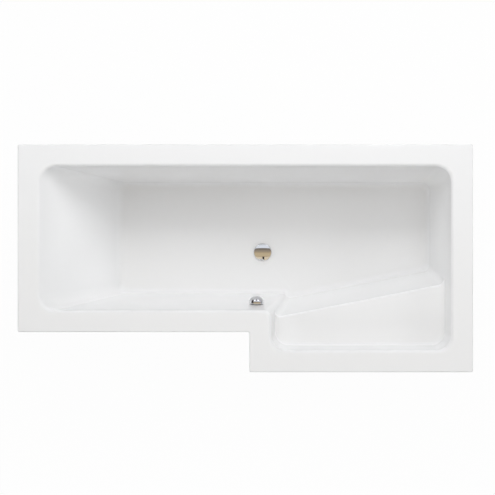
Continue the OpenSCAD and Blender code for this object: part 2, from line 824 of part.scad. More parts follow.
module overflow_rosette() {
    color("gainsboro")
    at_overflow()
        difference() {
            union() {
                rotate_extrude()
                    polygon([[rosette_neck, -wall_thickness - 1], [neck_outer, -wall_thickness - 1],
                             [neck_outer, 0], [rosette_radius, 0],
                             [rosette_radius, rosette_height - 0.5],
                             [rosette_radius - 0.5, rosette_height],
                             [rosette_neck, rosette_height]]);
                spokes(neck_outer - 1, rosette_height, 7);
                cylinder(r = 2 * spindle_radius, h = rosette_height);
            }
            translate([0, 0, -over]) cylinder(r = spindle_radius + gap, h = rosette_height + 2 * over);
            screw_pair() translate([0, 0, -over])
                cylinder(r = rosette_screw + gap, h = rosette_height + 2 * over);
        }
}
module screw_pair() for (side = [-1, 1]) translate([side * boss_spread, 0, 0]) children();
module rosette_screws() {
    shank = rosette_height + wall_thickness + seal_thickness + screw_grip;
    color("silver")
    at_overflow() screw_pair() {
        translate([0, 0, rosette_height - shank]) cylinder(r = rosette_screw, h = shank);
        translate([0, 0, rosette_height])
            cylinder(r1 = 2 * rosette_screw, r2 = rosette_screw + 1, h = rosette_screw);
    }
}
module overflow_seal()
    color("dimgray") at_overflow() translate([0, 0, cup_top])
        ring(cup_radius + 1, overflow_hole, seal_thickness);

// The cup behind the wall, with a spout that points straight down to the hose.
spout_from = cup_floor + collar_radius + 4;
spout_collar = cup_radius + 6;
spout_drop = spout_collar + 14;
module at_spout()
    translate([0, 0, spout_from]) rotate([90 - side_lean, 0, 0]) children();
module overflow_body() {
    inner = cup_radius - body_wall;
    color("gray")
    at_overflow()
        difference() {
            union() {
                translate([0, 0, cup_floor]) cylinder(r = cup_radius, h = cup_depth);
                translate([0, 0, cup_top - 5]) cylinder(r = cup_radius + 3, h = 5);
                at_spout() translate([0, 0, -spout_collar])
                    cylinder(r = collar_radius, h = spout_collar);
                at_spout() translate([0, 0, -spout_drop])
                    cylinder(r = hose_bore - free, h = spout_drop);
            }
            difference() {
                translate([0, 0, cup_floor + body_wall]) cylinder(r = inner, h = cup_depth);
                translate([0, 0, cup_floor]) {
                    cylinder(r = 2 * spindle_radius, h = cup_depth - 10);
                    screw_pair() cylinder(r = boss_radius, h = cup_depth - 1);
                }
            }
            at_spout() translate([0, 0, -spout_drop - over])
                cylinder(r = hose_bore - body_wall, h = spout_drop - cup_radius / 2);
            translate([0, 0, cup_floor - over])
                cylinder(r = spindle_radius + gap, h = cup_depth);
            screw_pair() translate([0, 0, cup_top - screw_grip - over])
                cylinder(r = rosette_screw + gap, h = screw_grip + over);
        }
}

drum_radius = 12;
drum_height = 8;
case_radius = 21;
case_depth = 14;
case_z = cup_floor - case_depth;
drum_z = case_z + 4;
spindle_grip = 14; // how far the spindle reaches into the knob
knob_sphere = (knob_radius * knob_radius + knob_dome * knob_dome) / 2 / knob_dome;
// Half of the knob's section: a drum, a rounded edge and a domed face.
module knob_section() {
    sphere_z = knob_length - knob_sphere;
    edge_x = knob_radius - knob_round;
    edge_z = sphere_z + sqrt(pow(knob_sphere - knob_round, 2) - pow(edge_x, 2));
    square([knob_radius, edge_z]);
    translate([edge_x, edge_z]) circle(r = knob_round);
    intersection() {
        translate([0, sphere_z]) circle(r = knob_sphere, $fn = 240);
        polygon([[0, 0], [edge_x, 0], [edge_x, edge_z],
                 2 * [edge_x, edge_z] - [0, sphere_z], [0, 2 * knob_length]]);
    }
}
module knob_hollow() {
    hub = 2 * spindle_radius;
    intersection() {
        translate([0, knob_length - knob_sphere])
            circle(r = knob_sphere - knob_wall, $fn = 240);
        translate([hub, -over]) square([knob_radius - knob_wall - hub, 2 * knob_length]);
    }
}
module overflow_knob() {
    color("gainsboro")
    at_overflow()
        translate([0, 0, knob_z])
        difference() {
            rotate_extrude() difference() {
                knob_section();
                knob_hollow();
            }
            translate([0, 0, -over]) cylinder(r = spindle_radius + gap, h = spindle_grip + free + over);
        }
}
module knob_spindle() {
    top = knob_z + spindle_grip;
    color("silver")
    at_overflow() {
        translate([0, 0, drum_z]) cylinder(r = spindle_radius, h = top - drum_z);
        translate([0, 0, drum_z]) cylinder(r = drum_radius, h = drum_height);
    }
}
gland_z = drum_z + 3.5;
gland_radius = cable_radius + 2;
gland_reach = case_radius + 6;
module cable_drum_case() {
    color("gray")
    at_overflow()
        difference() {
            union() {
                translate([0, 0, case_z]) cylinder(r = case_radius, h = case_depth);
                translate([drum_radius, 0, gland_z]) rotate([90, 0, 0])
                    cylinder(r = gland_radius, h = gland_reach);
            }
            translate([0, 0, case_z + cover_wall])
                cylinder(r = case_radius - cover_wall, h = case_depth);
            translate([drum_radius, 0, gland_z]) rotate([90, 0, 0])
                cylinder(r = cable_radius + gap, h = gland_reach + over);
        }
}

// ---- hose and cable, swept along smooth routes ----
function curve_point(route, t) =
    let (n = len(route) - 1,
         i = min(n - 1, floor(t * n)),
         u = t * n - i,
         p = route[max(0, i - 1)], q = route[i], r = route[i + 1], s = route[min(n, i + 2)])
    0.5 * (2 * q + (r - p) * u + (2 * p - 5 * q + 4 * r - s) * pow(u, 2)
           + (3 * q - p - 3 * r + s) * pow(u, 3));
function unit(v) = v / norm(v);
// The routes lie close to one upright plane, so every ring is turned from its X axis.
function tube_ring(route, t, radius, sides) =
    let (ahead = unit(curve_point(route, min(1, t + 0.01)) - curve_point(route, max(0, t - 0.01))),
         side = unit([1, 0, 0] - ahead * ahead[0]),
         up = cross(ahead, side),
         centre = curve_point(route, t))
    [for (k = [0 : sides - 1])
        centre + radius * (cos(360 * k / sides) * side + sin(360 * k / sides) * up)];

branch_mouth = [waste_x, waste_y - branch_collar, seat_z + branch_z];
spout_mouth = overflow_place
    + spout_from * [0, cos(side_lean), sin(side_lean)] - [0, 0, spout_collar];
hose_route = [branch_mouth,
              branch_mouth + [0, -42, 0],
              branch_mouth + [0, -84, 0],
              branch_mouth + [-5, -126, 11],
              branch_mouth + [-9, -162, 39],
              branch_mouth + [-14, -182, 79],
              branch_mouth + [-18, -191, 123],
              spout_mouth + [3, -2.5, -122],
              spout_mouth + [0, 0, -84],
              spout_mouth + [0, 0, -42],
              spout_mouth];
hose_sides = 8;
hose_cuff = 0.05; // share of the hose at each end that has no ribs
module overflow_hose() {
    pitch = (1 - 2 * hose_cuff) / hose_ribs;
    crest = hose_core + hose_rib;
    outside = concat(
        [tube_ring(hose_route, 0, hose_core + 1, hose_sides)],
        [for (i = [0 : hose_ribs - 1])
            let (t = hose_cuff + i * pitch)
            each [tube_ring(hose_route, t, hose_core, hose_sides),
                  tube_ring(hose_route, t + pitch / 2, crest, hose_sides)]],
        [tube_ring(hose_route, 1 - hose_cuff, hose_core, hose_sides),
         tube_ring(hose_route, 1, hose_core + 1, hose_sides)]);
    bore_steps = 30;
    bore = [for (i = [bore_steps : -1 : 0])
        tube_ring(hose_route, i / bore_steps, hose_bore / cos(180 / hose_sides), hose_sides)];
    color("whitesmoke") closed_loft(concat(outside, bore));
}

// Closed solid through rings whose last one joins the first.
module closed_loft(rings) {
    n = len(rings[0]);
    count = len(rings);
    polyhedron(points = [for (ring = rings) each ring],
               faces = [for (i = [0 : count - 1], j = [0 : n - 1])
                   let (a = i * n + j, b = i * n + (j + 1) % n,
                        c = ((i + 1) % count) * n + j, d = ((i + 1) % count) * n + (j + 1) % n)
                   each [[a, c, d], [a, d, b]]]);
}

clip_width = 9;
clip_back = 3; // distance of a clip from the hose's end
clip_band = 2.5;
clip_radius = hose_core + 1;
module hose_clips() {
    color("silver") {
        translate(branch_mouth - [0, clip_width + clip_back, 0]) rotate([-90, 0, 0])
            ring(clip_radius + clip_band, clip_radius + free, clip_width);
        translate(spout_mouth - [0, 0, clip_width + clip_back])
            ring(clip_radius + clip_band, clip_radius + free, clip_width);
    }
}

// The cable's sheath runs beside the hose, from the drum's gland to the rocker's cover.
cable_start = overflow_place
    + (gland_z) * [0, cos(side_lean), sin(side_lean)]
    + [drum_radius, 0, 0]
    - (gland_reach - 3) * [0, -sin(side_lean), cos(side_lean)];
cable_end = [waste_x + bearing_reach + cover_length / 2,
             waste_y + rocker_y + cover_wall - cover_half,
             seat_z + rocker_z + cable_z];
// The cable lies against the hose, and moves round from its front to its side.
cable_offset = hose_core + hose_rib + cable_radius + 3;
function beside_hose(t) =
    let (ahead = unit(curve_point(hose_route, t + 0.01) - curve_point(hose_route, t - 0.01)),
         side = unit([1, 0, 0] - ahead * ahead[0]),
         turn = -75 * t)
    curve_point(hose_route, t)
    + cable_offset * (cos(turn) * side + sin(turn) * cross(ahead, side));
cable_route = concat(
    [cable_start, cable_start + [0, 0, -22]],
    [for (t = [0.8 : -0.1 : 0.3]) beside_hose(t)],
    [cable_end + [-4, -88, 12], cable_end + [0, -46, 0], cable_end]);
cable_sides = 8;
cable_steps = 44;
module pull_cable()
    color("dimgray")
    lofted([for (i = [0 : cable_steps])
               tube_ring(cable_route, i / cable_steps, cable_radius, cable_sides)],
           cable_start, cable_end);

// ---- trap: a low P bend that keeps water, with its cleaning plug at the bottom ----
washer_height = 2;
trap_flange = 3; // thickness of the inlet's flange
trap_outer = outlet_radius - 1.9;
trap_inner = trap_outer - body_wall;
trap_z = seat_z + body_floor - outlet_length - washer_height - trap_flange;
trap_dip = 3; // straight stretch below the inlet's flange
riser = 4; // straight stretch between the two bends
outlet_z = riser + trap_bend;
socket_radius = pipe_bore + body_wall;
nut_wall = 3;
module at_trap() translate([waste_x, waste_y, trap_z]) children();
module at_outlet()
    at_trap() translate([0, outlet_reach, outlet_z]) rotate([90, 0, 0]) children();

// Bend of a round pipe in the upright plane through the waste, from one angle to another.
module bend(radius, from, turn) {
    rotate([90, 0, 90])
        rotate([0, 0, from])
        rotate_extrude(angle = turn)
        translate([trap_bend, 0]) circle(r = radius);
}
module trap_run(radius, extra) {
    translate([0, 0, -trap_dip]) cylinder(r = radius, h = trap_dip + trap_flange + extra);
    translate([0, trap_bend, -trap_dip]) bend(radius, 180, 180);
    translate([0, 2 * trap_bend, -trap_dip]) cylinder(r = radius, h = riser + trap_dip);
    translate([0, 3 * trap_bend, riser]) bend(radius, 90, 90);
    translate([0, 3 * trap_bend, outlet_z]) rotate([-90, 0, 0])
        cylinder(r = radius, h = outlet_reach - 3 * trap_bend - socket_depth + extra);
}
plug_hole = 9;
plug_boss = plug_hole + 3;
boss_height = 10;
boss_drop = trap_dip + trap_bend + trap_outer + 2;
module trap_body() {
    color("whitesmoke")
    difference() {
        union() {
            at_trap() trap_run(trap_outer, 0);
            at_trap() cylinder(r = outlet_radius, h = trap_flange);
            at_outlet() cylinder(r = socket_radius, h = socket_depth);
            at_trap() translate([0, trap_bend, -boss_drop]) cylinder(r = plug_boss, h = boss_height);
        }
        at_trap() trap_run(trap_inner, over);
        at_outlet() translate([0, 0, -over]) cylinder(r = pipe_bore, h = socket_depth + over);
        at_trap() translate([0, trap_bend, -boss_drop - over])
            cylinder(r = plug_hole, h = boss_height + 2 * over);
    }
}
module cleaning_plug() {
    color("dimgray")
    at_trap() translate([0, trap_bend, -boss_drop]) {
        translate([0, 0, -3]) cylinder(r = plug_boss, h = 3);
        cylinder(r = plug_hole - gap, h = 6);
        translate([-8, -1.5, -6]) cube([16, 3, 4]);
    }
}
module trap_washer()
    color("dimgray") at_trap() translate([0, 0, trap_flange])
        ring(outlet_radius, outlet_radius - body_wall, washer_height);

// Ribbed nut that screws on the outside of a pipe of the given radius.
module ribbed_nut(radius, lip_bore, height) {
    lip = 2;
    difference() {
        union() {
            cylinder(r = radius + nut_wall, h = height);
            for (a = [0 : 30 : 330])
                rotate(a) translate([radius + nut_wall - 1, -1.5, 1]) cube([2.5, 3, height - 3]);
        }
        translate([0, 0, lip]) cylinder(r = radius + gap, h = height);
        translate([0, 0, -over]) cylinder(r = lip_bore, h = lip + 2 * over);
    }
}
module trap_nut()
    color("whitesmoke") at_trap() translate([0, 0, -2])
        ribbed_nut(outlet_radius, trap_outer + gap, 17);
seal_ring = 4;
module outlet_seal()
    color("dimgray") at_outlet() translate([0, 0, -seal_ring])
        ring(socket_radius, pipe_bore + free, seal_ring);
module outlet_nut()
    color("whitesmoke") at_outlet() translate([0, 0, -seal_ring - 2])
        ribbed_nut(socket_radius, pipe_bore + free, 22);

// Clips that hold the cable to the hose: a ring round each, joined where they meet.
clip_spots = [0.4, 0.55, 0.7];
clip_sides = 12;
module cable_clips() {
    color("dimgray")
    for (t = clip_spots) {
        half = 0.006;
        hose_inner = (hose_core + hose_rib + free) / cos(180 / clip_sides);
        cable_inner = (cable_radius + free) / cos(180 / clip_sides);
        span = [t - half, t + half];
        union() {
            clip_band(span, hose_inner, hose_inner + 1.4, 0);
            clip_band(span, cable_inner, cable_inner + 1.4, 1);
        }
    }
}
// Short band round the hose, or round the cable where beside is 1.
module clip_band(span, inner, outer, beside) {
    function band(t, radius) =
        [for (p = tube_ring(hose_route, t, radius, clip_sides))
            p + beside * (beside_hose(t) - curve_point(hose_route, t))];
    closed_loft([band(span[0], outer), band(span[1], outer),
                 band(span[1], inner), band(span[0], inner)]);
}

tub_shell();
base_board();
rear_batten();
end_batten();
shower_batten();
front_batten();
side_batten();
step_batten();
head_cradle_bar();
shower_cradle_bar();
middle_bracket();
cradle_screws();
lock_nuts();
foot_rod_1();
foot_rod_2();
foot_rod_3();
foot_rod_4();
foot_rod_5();
foot_pad_1();
foot_pad_2();
foot_pad_3();
foot_pad_4();
foot_pad_5();
wall_brackets();
bracket_screws();
waste_flange();
waste_upper_seal();
waste_lower_seal();
waste_body();
clamp_sleeve();
plug_cap();
plug_seal();
plug_stem();
lift_rocker();
rocker_cover();
overflow_rosette();
overflow_seal();
overflow_body();
rosette_screws();
overflow_knob();
knob_spindle();
cable_drum_case();
overflow_hose();
hose_clips();
pull_cable();
cable_clips();
trap_body();
trap_nut();
trap_washer();
cleaning_plug();
outlet_nut();
outlet_seal();
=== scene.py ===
# %% [markdown]
# # A square shower bath, from the moulding down to its feet
# The bath is an acrylic moulding with a wide end to stand in, a shelf with a slanted edge and a
# sloping backrest. A chrome knob in its side lifts the plug in its floor. Below the rim it has
# battens, a base board, a steel cradle on screw feet, and the pipes.
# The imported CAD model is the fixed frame: every piece here sits where the CAD says, in metres,
# with +X to the shower end, +Y to the wall behind the bath and +Z up.

# %% Load the frame
import json
from contextlib import contextmanager
from math import atan2, cos, degrees, hypot, pi, radians, sin, sqrt, tan

import bmesh
import bpy
from mathutils import Matrix, Vector


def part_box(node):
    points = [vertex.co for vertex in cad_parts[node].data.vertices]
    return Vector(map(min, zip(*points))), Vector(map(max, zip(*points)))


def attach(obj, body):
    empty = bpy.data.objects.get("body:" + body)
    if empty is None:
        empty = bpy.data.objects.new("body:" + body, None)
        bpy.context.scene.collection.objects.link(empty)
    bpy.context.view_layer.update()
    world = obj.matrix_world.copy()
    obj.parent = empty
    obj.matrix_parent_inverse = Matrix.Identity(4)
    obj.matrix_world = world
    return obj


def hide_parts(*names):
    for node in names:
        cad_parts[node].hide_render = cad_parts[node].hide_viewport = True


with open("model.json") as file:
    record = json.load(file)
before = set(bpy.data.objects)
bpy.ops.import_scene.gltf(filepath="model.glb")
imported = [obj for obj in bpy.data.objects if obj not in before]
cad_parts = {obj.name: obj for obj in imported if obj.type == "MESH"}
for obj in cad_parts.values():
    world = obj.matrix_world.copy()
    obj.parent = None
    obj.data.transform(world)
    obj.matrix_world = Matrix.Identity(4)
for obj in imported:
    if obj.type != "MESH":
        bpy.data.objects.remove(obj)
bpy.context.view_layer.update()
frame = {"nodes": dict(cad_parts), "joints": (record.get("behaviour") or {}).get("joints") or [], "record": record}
SCENE = bpy.context.scene
MM = 0.001
print("nodes in the frame:", len(frame["nodes"]))

# %% [markdown]
# ## The view
# The bath is seen from straight above, from far away, as in a catalogue plan. A long lens keeps
# the walls of the well almost upright. The lens follows from one scale: how many pixels of a
# 495-pixel picture one metre of the rim covers. The lens axis meets the rim a little behind
# its middle, and a small shift brings the bath back to the middle of the picture.

# %% The camera
PICTURE = 495  # pixels on a side
SENSOR = 36.0
RIM_SCALE = 267.88  # pixels per metre at the rim
CAMERA_RISE = 9.4
AXIS_POINT = Vector((0.008, 0.077))  # where the lens axis meets the rim
AXIS_PIXEL = (247.5, 237.7)

tub_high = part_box("tub_shell")[1]
RIM_Z = tub_high.z

camera_data = bpy.data.cameras.new("plan_camera")
camera_data.sensor_width = SENSOR
camera_data.lens = RIM_SCALE * CAMERA_RISE * SENSOR / PICTURE
camera_data.shift_x = (PICTURE / 2 - AXIS_PIXEL[0]) / PICTURE
camera_data.shift_y = (AXIS_PIXEL[1] - PICTURE / 2) / PICTURE
camera_data.clip_end = 60
camera = bpy.data.objects.new("plan_camera", camera_data)
camera.location = (AXIS_POINT.x, AXIS_POINT.y, RIM_Z + CAMERA_RISE)
SCENE.collection.objects.link(camera)
SCENE.camera = camera
SCENE.view_settings.view_transform = "Standard"
print(f"lens {camera_data.lens:.0f} mm, {CAMERA_RISE} m above the rim")

# %% [markdown]
# ## Helpers for node trees
# Shader and geometry trees are wired the same way: make a node, then feed its sockets, each
# with a plain value or with another node's output. Small helpers keep the trees below short.


# %% Wire nodes
def feed(tree, node, values):
    """Sets a node's sockets, given by name or number, to values or links them to outputs."""
    for key, value in values.items():
        if isinstance(value, bpy.types.NodeSocket):
            tree.links.new(value, node.inputs[key])
        else:
            node.inputs[key].default_value = value


def add_node(tree, kind, values=None, **settings):
    """The outputs of a new node, with its settings made and its sockets fed."""
    made = tree.nodes.new(kind)
    for name, value in settings.items():
        setattr(made, name, value)
    feed(tree, made, values or {})
    return made.outputs


def maths(tree, operation, *terms, kind="ShaderNodeMath", **settings):
    """The result of a math node on its terms."""
    return add_node(tree, kind, dict(enumerate(terms)), operation=operation, **settings)[0]


def new_group(name, kind, inputs, outputs):
    """A node group with named sockets, given as {name: (socket type, default)}."""
    tree = bpy.data.node_groups.new(name, kind)
    for label, (socket_type, default) in inputs.items():
        socket = tree.interface.new_socket(label, in_out="INPUT", socket_type=socket_type)
        if default is not None:
            socket.default_value = default
    for label, socket_type in outputs.items():
        tree.interface.new_socket(label, in_out="OUTPUT", socket_type=socket_type)
    return tree, tree.nodes.new("NodeGroupInput").outputs, tree.nodes.new("NodeGroupOutput")


def on_object(tree):
    """Object coordinates, with which a pattern stays put on its piece."""
    return add_node(tree, "ShaderNodeTexCoord")["Object"]


def mix_tints(tree, share, light, dark):
    """A tint between two others."""
    return add_node(tree, "ShaderNodeMix", {"Factor": share, "A": light, "B": dark},
                    data_type="RGBA")["Result"]


# %% [markdown]
# ## Effects that several finishes share
# Moulded and rolled surfaces are never quite even. The first group gives a value that drifts
# over the surface: it varies roughness and tint. The second is a fine height for a Bump node,
# such as the orange peel of a moulding. Both put out plain values, which any material can use
# with its own numbers.

# %% Group: slow drift
FLOAT, COLOUR, VECTOR = "NodeSocketFloat", "NodeSocketColor", "NodeSocketVector"
WHITE, BLACK = (1, 1, 1, 1), (0, 0, 0, 1)

DRIFT, given, result = new_group(
    "surface_drift", "ShaderNodeTree",
    {"Scale": (FLOAT, 5.0), "Low": (FLOAT, 0.0), "High": (FLOAT, 1.0)}, {"Value": FLOAT})
noise = add_node(DRIFT, "ShaderNodeTexNoise",
                 {"Vector": on_object(DRIFT), "Scale": given["Scale"], "Detail": 4.0,
                  "Roughness": 0.55})
spread = add_node(DRIFT, "ShaderNodeMapRange",
                  {"Value": noise["Fac"], "From Min": 0.25, "From Max": 0.75,
                   "To Min": given["Low"], "To Max": given["High"]},
                  interpolation_type="SMOOTHSTEP")
feed(DRIFT, result, {"Value": spread["Result"]})

# %% Group: fine grain
GRAIN, given, result = new_group(
    "fine_grain", "ShaderNodeTree",
    {"Scale": (FLOAT, 400.0), "Stretch": (VECTOR, (1.0, 1.0, 1.0))}, {"Height": FLOAT})
stretched = maths(GRAIN, "MULTIPLY", on_object(GRAIN), given["Stretch"],
                  kind="ShaderNodeVectorMath")
noise = add_node(GRAIN, "ShaderNodeTexNoise", {"Vector": stretched, "Scale": given["Scale"],
                                               "Detail": 2.0, "Roughness": 0.5})
feed(GRAIN, result, {"Height": noise["Fac"]})

# %% [markdown]
# Wood, chipboard and zinc each have a pattern of their own. Wood is a stack of rings cut
# lengthwise: a wave across the batten, bent by noise that is stretched along it. Chipboard and
# zinc are both made of cells, and a Voronoi texture gives each cell its own tint.

# %% Group: wood rings
FIBRE_SHARE = 0.45  # how much the fine fibres add to the broad rings

WOOD, given, result = new_group(
    "wood_rings", "ShaderNodeTree",
    {"Stretch": (VECTOR, (1.0, 12.0, 12.0)), "Light": (COLOUR, WHITE), "Dark": (COLOUR, BLACK)},
    {"Color": COLOUR, "Height": FLOAT})
stretched = maths(WOOD, "MULTIPLY", on_object(WOOD), given["Stretch"],
                  kind="ShaderNodeVectorMath")
rings = add_node(WOOD, "ShaderNodeTexWave",
                 {"Vector": stretched, "Scale": 2.6, "Distortion": 5.0, "Detail": 3.0,
                  "Detail Scale": 1.4}, bands_direction="DIAGONAL")
fibres = add_node(WOOD, "ShaderNodeTexNoise",
                  {"Vector": stretched, "Scale": 38.0, "Detail": 3.0})["Fac"]
share = maths(WOOD, "MULTIPLY_ADD", fibres, FIBRE_SHARE, rings["Fac"])
tone = add_node(WOOD, "ShaderNodeMapRange", {"Value": share, "From Max": 1.4})
feed(WOOD, result, {"Height": fibres, "Color": mix_tints(WOOD, tone["Result"],
                                                         given["Light"], given["Dark"])})

# %% Group: cells
CELL_BEND = 0.012  # how far noise moves the edges of the cells

CELLS, given, result = new_group(
    "cells", "ShaderNodeTree",
    {"Scale": (FLOAT, 60.0), "Light": (COLOUR, WHITE), "Dark": (COLOUR, BLACK)},
    {"Color": COLOUR, "Value": FLOAT})
place = on_object(CELLS)
noise = add_node(CELLS, "ShaderNodeTexNoise", {"Vector": place, "Scale": given["Scale"]})
pushed = maths(CELLS, "MULTIPLY_ADD", noise["Color"], (CELL_BEND,) * 3, place,
               kind="ShaderNodeVectorMath")
cell = add_node(CELLS, "ShaderNodeTexVoronoi", {"Vector": pushed, "Scale": given["Scale"]})
value = add_node(CELLS, "ShaderNodeSeparateColor", {"Color": cell["Color"]})
feed(CELLS, result, {"Value": value["Green"], "Color": mix_tints(CELLS, value["Red"],
                                                                 given["Light"], given["Dark"])})
print("shader groups:", [g.name for g in bpy.data.node_groups])

# %% [markdown]
# ## The finishes
# Every finish is made by one function. Values that are the same all over the surface sit on
# the shader's own sockets. Only what changes over the surface comes from the groups: tint,
# roughness and the height of a bump.


# %% Build a finish
def place_group(tree, group, values):
    """The outputs of a shader group in a material, with this material's own values."""
    return add_node(tree, "ShaderNodeGroup", values, node_tree=group)


def finish(name, colour, roughness, metallic=0.0, sockets=None, tints=None, gloss=None,
           grain=None, pattern=None, painted=True, cell_gloss=None, relief=None):
    """A material with its Principled shader.

    Tints (scale, light, dark) and gloss (scale, low, high) drift over the surface. Grain
    (scale, depth, and a stretch if it has one) roughens it. A pattern (group, values) may
    paint it, set its gloss (low, high) cell by cell, and stand out in relief (output, depth,
    strength).
    """
    made = bpy.data.materials.new(name)
    made.use_nodes = True
    tree = made.node_tree
    fed = {"Base Color": (*colour, 1), "Roughness": roughness, "Metallic": metallic,
           **(sockets or {})}
    bump = None
    if gloss:
        scale, low, high = gloss
        drift = place_group(tree, DRIFT, {"Scale": scale, "Low": low, "High": high})
        fed["Roughness"] = drift["Value"]
    if tints:
        scale, light, dark = tints
        drift = place_group(tree, DRIFT, {"Scale": scale})
        fed["Base Color"] = mix_tints(tree, drift["Value"], (*light, 1), (*dark, 1))
    if grain:
        scale, depth, *stretch = grain
        values = {"Scale": scale, **({"Stretch": stretch[0]} if stretch else {})}
        height = place_group(tree, GRAIN, values)["Height"]
        bump = {"Height": height, "Distance": depth, "Strength": 1.0}
    if pattern:
        drawn = place_group(tree, *pattern)
        if painted:
            fed["Base Color"] = drawn["Color"]
        if cell_gloss:
            low, high = cell_gloss
            spread_out = add_node(tree, "ShaderNodeMapRange",
                                  {"Value": drawn["Value"], "To Min": low, "To Max": high})
            fed["Roughness"] = spread_out["Result"]
        if relief:
            output, depth, strength = relief
            bump = {"Height": drawn[output], "Distance": depth, "Strength": strength}
    if bump:
        fed["Normal"] = add_node(tree, "ShaderNodeBump", bump)["Normal"]
    feed(tree, tree.nodes["Principled BSDF"], fed)
    return made


# %% [markdown]
# Sanitary acrylic is white through and through with a wet-looking face. A thin coat of gloss
# over a soft white body gives the highlights and the milky shade together. The bump is a few
# microns of orange peel, just enough to break a reflected edge.

# %% Acrylic and its backing
ACRYLIC = finish("acrylic", (0.88, 0.884, 0.889), 0.22,
                 sockets={"Coat Weight": 0.22, "Coat Roughness": 0.15, "IOR": 1.49},
                 tints=(1.6, (0.880, 0.884, 0.889), (0.874, 0.878, 0.883)),
                 gloss=(3.0, 0.19, 0.25), grain=(90.0, 0.00002))
BACKING = finish("fibre_backing", (0.74, 0.72, 0.66), 0.5,
                 tints=(7.0, (0.80, 0.785, 0.73), (0.66, 0.64, 0.565)),
                 gloss=(30.0, 0.35, 0.65), pattern=(CELLS, {"Scale": 110.0}), painted=False,
                 relief=("Value", 0.0006, 0.8))

# %% [markdown]
# Metals: chrome is a mirror with the faintest haze. Zinc plating on pressed steel shows its
# crystals as large cells that differ a little in tint and in gloss. Turned steel and brass
# have fine lines round them from the tool.

# %% Metals
CHROME = finish("chrome", (0.78, 0.785, 0.80), 0.05, 1.0, gloss=(60.0, 0.035, 0.075))
ZINC = finish("zinc_steel", (0.6, 0.61, 0.62), 0.4, 0.9, grain=(500.0, 0.00006),
              pattern=(CELLS, {"Scale": 85.0, "Light": (0.66, 0.67, 0.68, 1),
                               "Dark": (0.47, 0.485, 0.5, 1)}), cell_gloss=(0.3, 0.52))
BRIGHT_STEEL = finish("screw_steel", (0.6, 0.59, 0.56), 0.3, 1.0, gloss=(120.0, 0.2, 0.4),
                      tints=(45.0, (0.63, 0.625, 0.60), (0.50, 0.49, 0.46)))
BRASS = finish("turned_brass", (0.72, 0.53, 0.25), 0.28, 1.0, gloss=(90.0, 0.2, 0.38),
               grain=(900.0, 0.00003, (0.2, 0.2, 1.0)))

# %% [markdown]
# Plastics and rubber: what tells them apart is how they catch light. Polypropylene is waxy,
# with a soft spread highlight and light that goes a little way in. Black feet are grained in
# the mould. Rubber is nearly matt, with a fine bloom.


# %% Plastics and rubber
def plastic(name, light, dark, rough, grain_scale, grain_depth, inside=0.0):
    """A moulded plastic: two tints, a range of roughness, its grain, and its depth."""
    return finish(name, light, rough[0], tints=(14.0, light, dark), gloss=(22.0, *rough),
                  grain=(grain_scale, grain_depth),
                  sockets={"Subsurface Weight": inside, "Subsurface Radius": (4 * MM,) * 3})


WHITE_PLASTIC = plastic("white_plastic", (0.83, 0.83, 0.81), (0.77, 0.77, 0.745),
                        (0.32, 0.45), 260.0, 0.00006, 0.15)
HOSE_PLASTIC = plastic("hose_plastic", (0.80, 0.80, 0.775), (0.70, 0.70, 0.67),
                       (0.35, 0.5), 240.0, 0.00008, 0.2)
GREY_PLASTIC = plastic("grey_plastic", (0.235, 0.24, 0.25), (0.19, 0.195, 0.205),
                       (0.38, 0.52), 320.0, 0.00008)
BLACK_PLASTIC = plastic("black_plastic", (0.028, 0.028, 0.030), (0.018, 0.018, 0.019),
                        (0.34, 0.5), 420.0, 0.0001)
RUBBER = plastic("seal_rubber", (0.030, 0.030, 0.031), (0.020, 0.020, 0.020),
                 (0.6, 0.78), 520.0, 0.0001)


# %% Wood
def softwood(name, stretch):
    """Sawn pine whose grain runs the way that the stretch is least."""
    return finish(name, (0.6, 0.45, 0.28), 0.62, relief=("Height", 0.0005, 0.7),
                  pattern=(WOOD, {"Stretch": stretch, "Light": (0.70, 0.53, 0.33, 1),
                                  "Dark": (0.49, 0.325, 0.17, 1)}))


PINE_X = softwood("pine_along_x", (0.9, 16.0, 16.0))
PINE_Y = softwood("pine_along_y", (16.0, 0.9, 16.0))
CHIPBOARD = finish("chipboard", (0.55, 0.42, 0.27), 0.7, relief=("Value", 0.0004, 0.7),
                   pattern=(CELLS, {"Scale": 190.0, "Light": (0.62, 0.48, 0.31, 1),
                                    "Dark": (0.38, 0.27, 0.155, 1)}))
print("materials:", len(bpy.data.materials))

# %% [markdown]
# ## Helpers for meshes
# Most pieces are either turned, lofted, or taken over from the CAD model. CAD meshes are
# loose triangles, which shade flat, so a copy is merged first, its flat faces are dissolved
# back into whole ones, and its sharp edges get a small round that catches the light.

# %% Make and finish meshes
SHARP = 32  # degrees between two faces, past which their edge is kept crisp
FLAT = 0.6  # degrees between two faces, up to which they become one
MERGED = 1e-6  # points closer than this are one


@contextmanager
def opened(mesh):
    """A mesh opened for work on its points and faces, and closed again."""
    work = bmesh.new()
    work.from_mesh(mesh)
    yield work
    work.to_mesh(mesh)
    work.free()


def new_object(name, mesh, material):
    made = bpy.data.objects.new(name, mesh)
    if material is not None:
        mesh.materials.clear()
        mesh.materials.append(material)
    SCENE.collection.objects.link(made)
    return made


def mesh_object(name, points, faces, material):
    mesh = bpy.data.meshes.new(name)
    mesh.from_pydata([tuple(p) for p in points], [], faces)
    return new_object(name, mesh, material)


def smooth_by_angle(mesh, angle=SHARP):
    """Smooth shading, with edges sharper than the angle in degrees kept crisp."""
    mesh.shade_smooth()
    mesh.set_sharp_from_angle(angle=radians(angle))


def final_mesh(piece):
    """The mesh of a piece as its modifiers leave it."""
    bpy.context.view_layer.update()
    seen = piece.evaluated_get(bpy.context.evaluated_depsgraph_get())
    return bpy.data.meshes.new_from_object(seen)


def settle(piece):
    """Turns a piece's modifiers into plain mesh and removes them."""
    mesh = final_mesh(piece)
    piece.modifiers.clear()
    piece.data = mesh


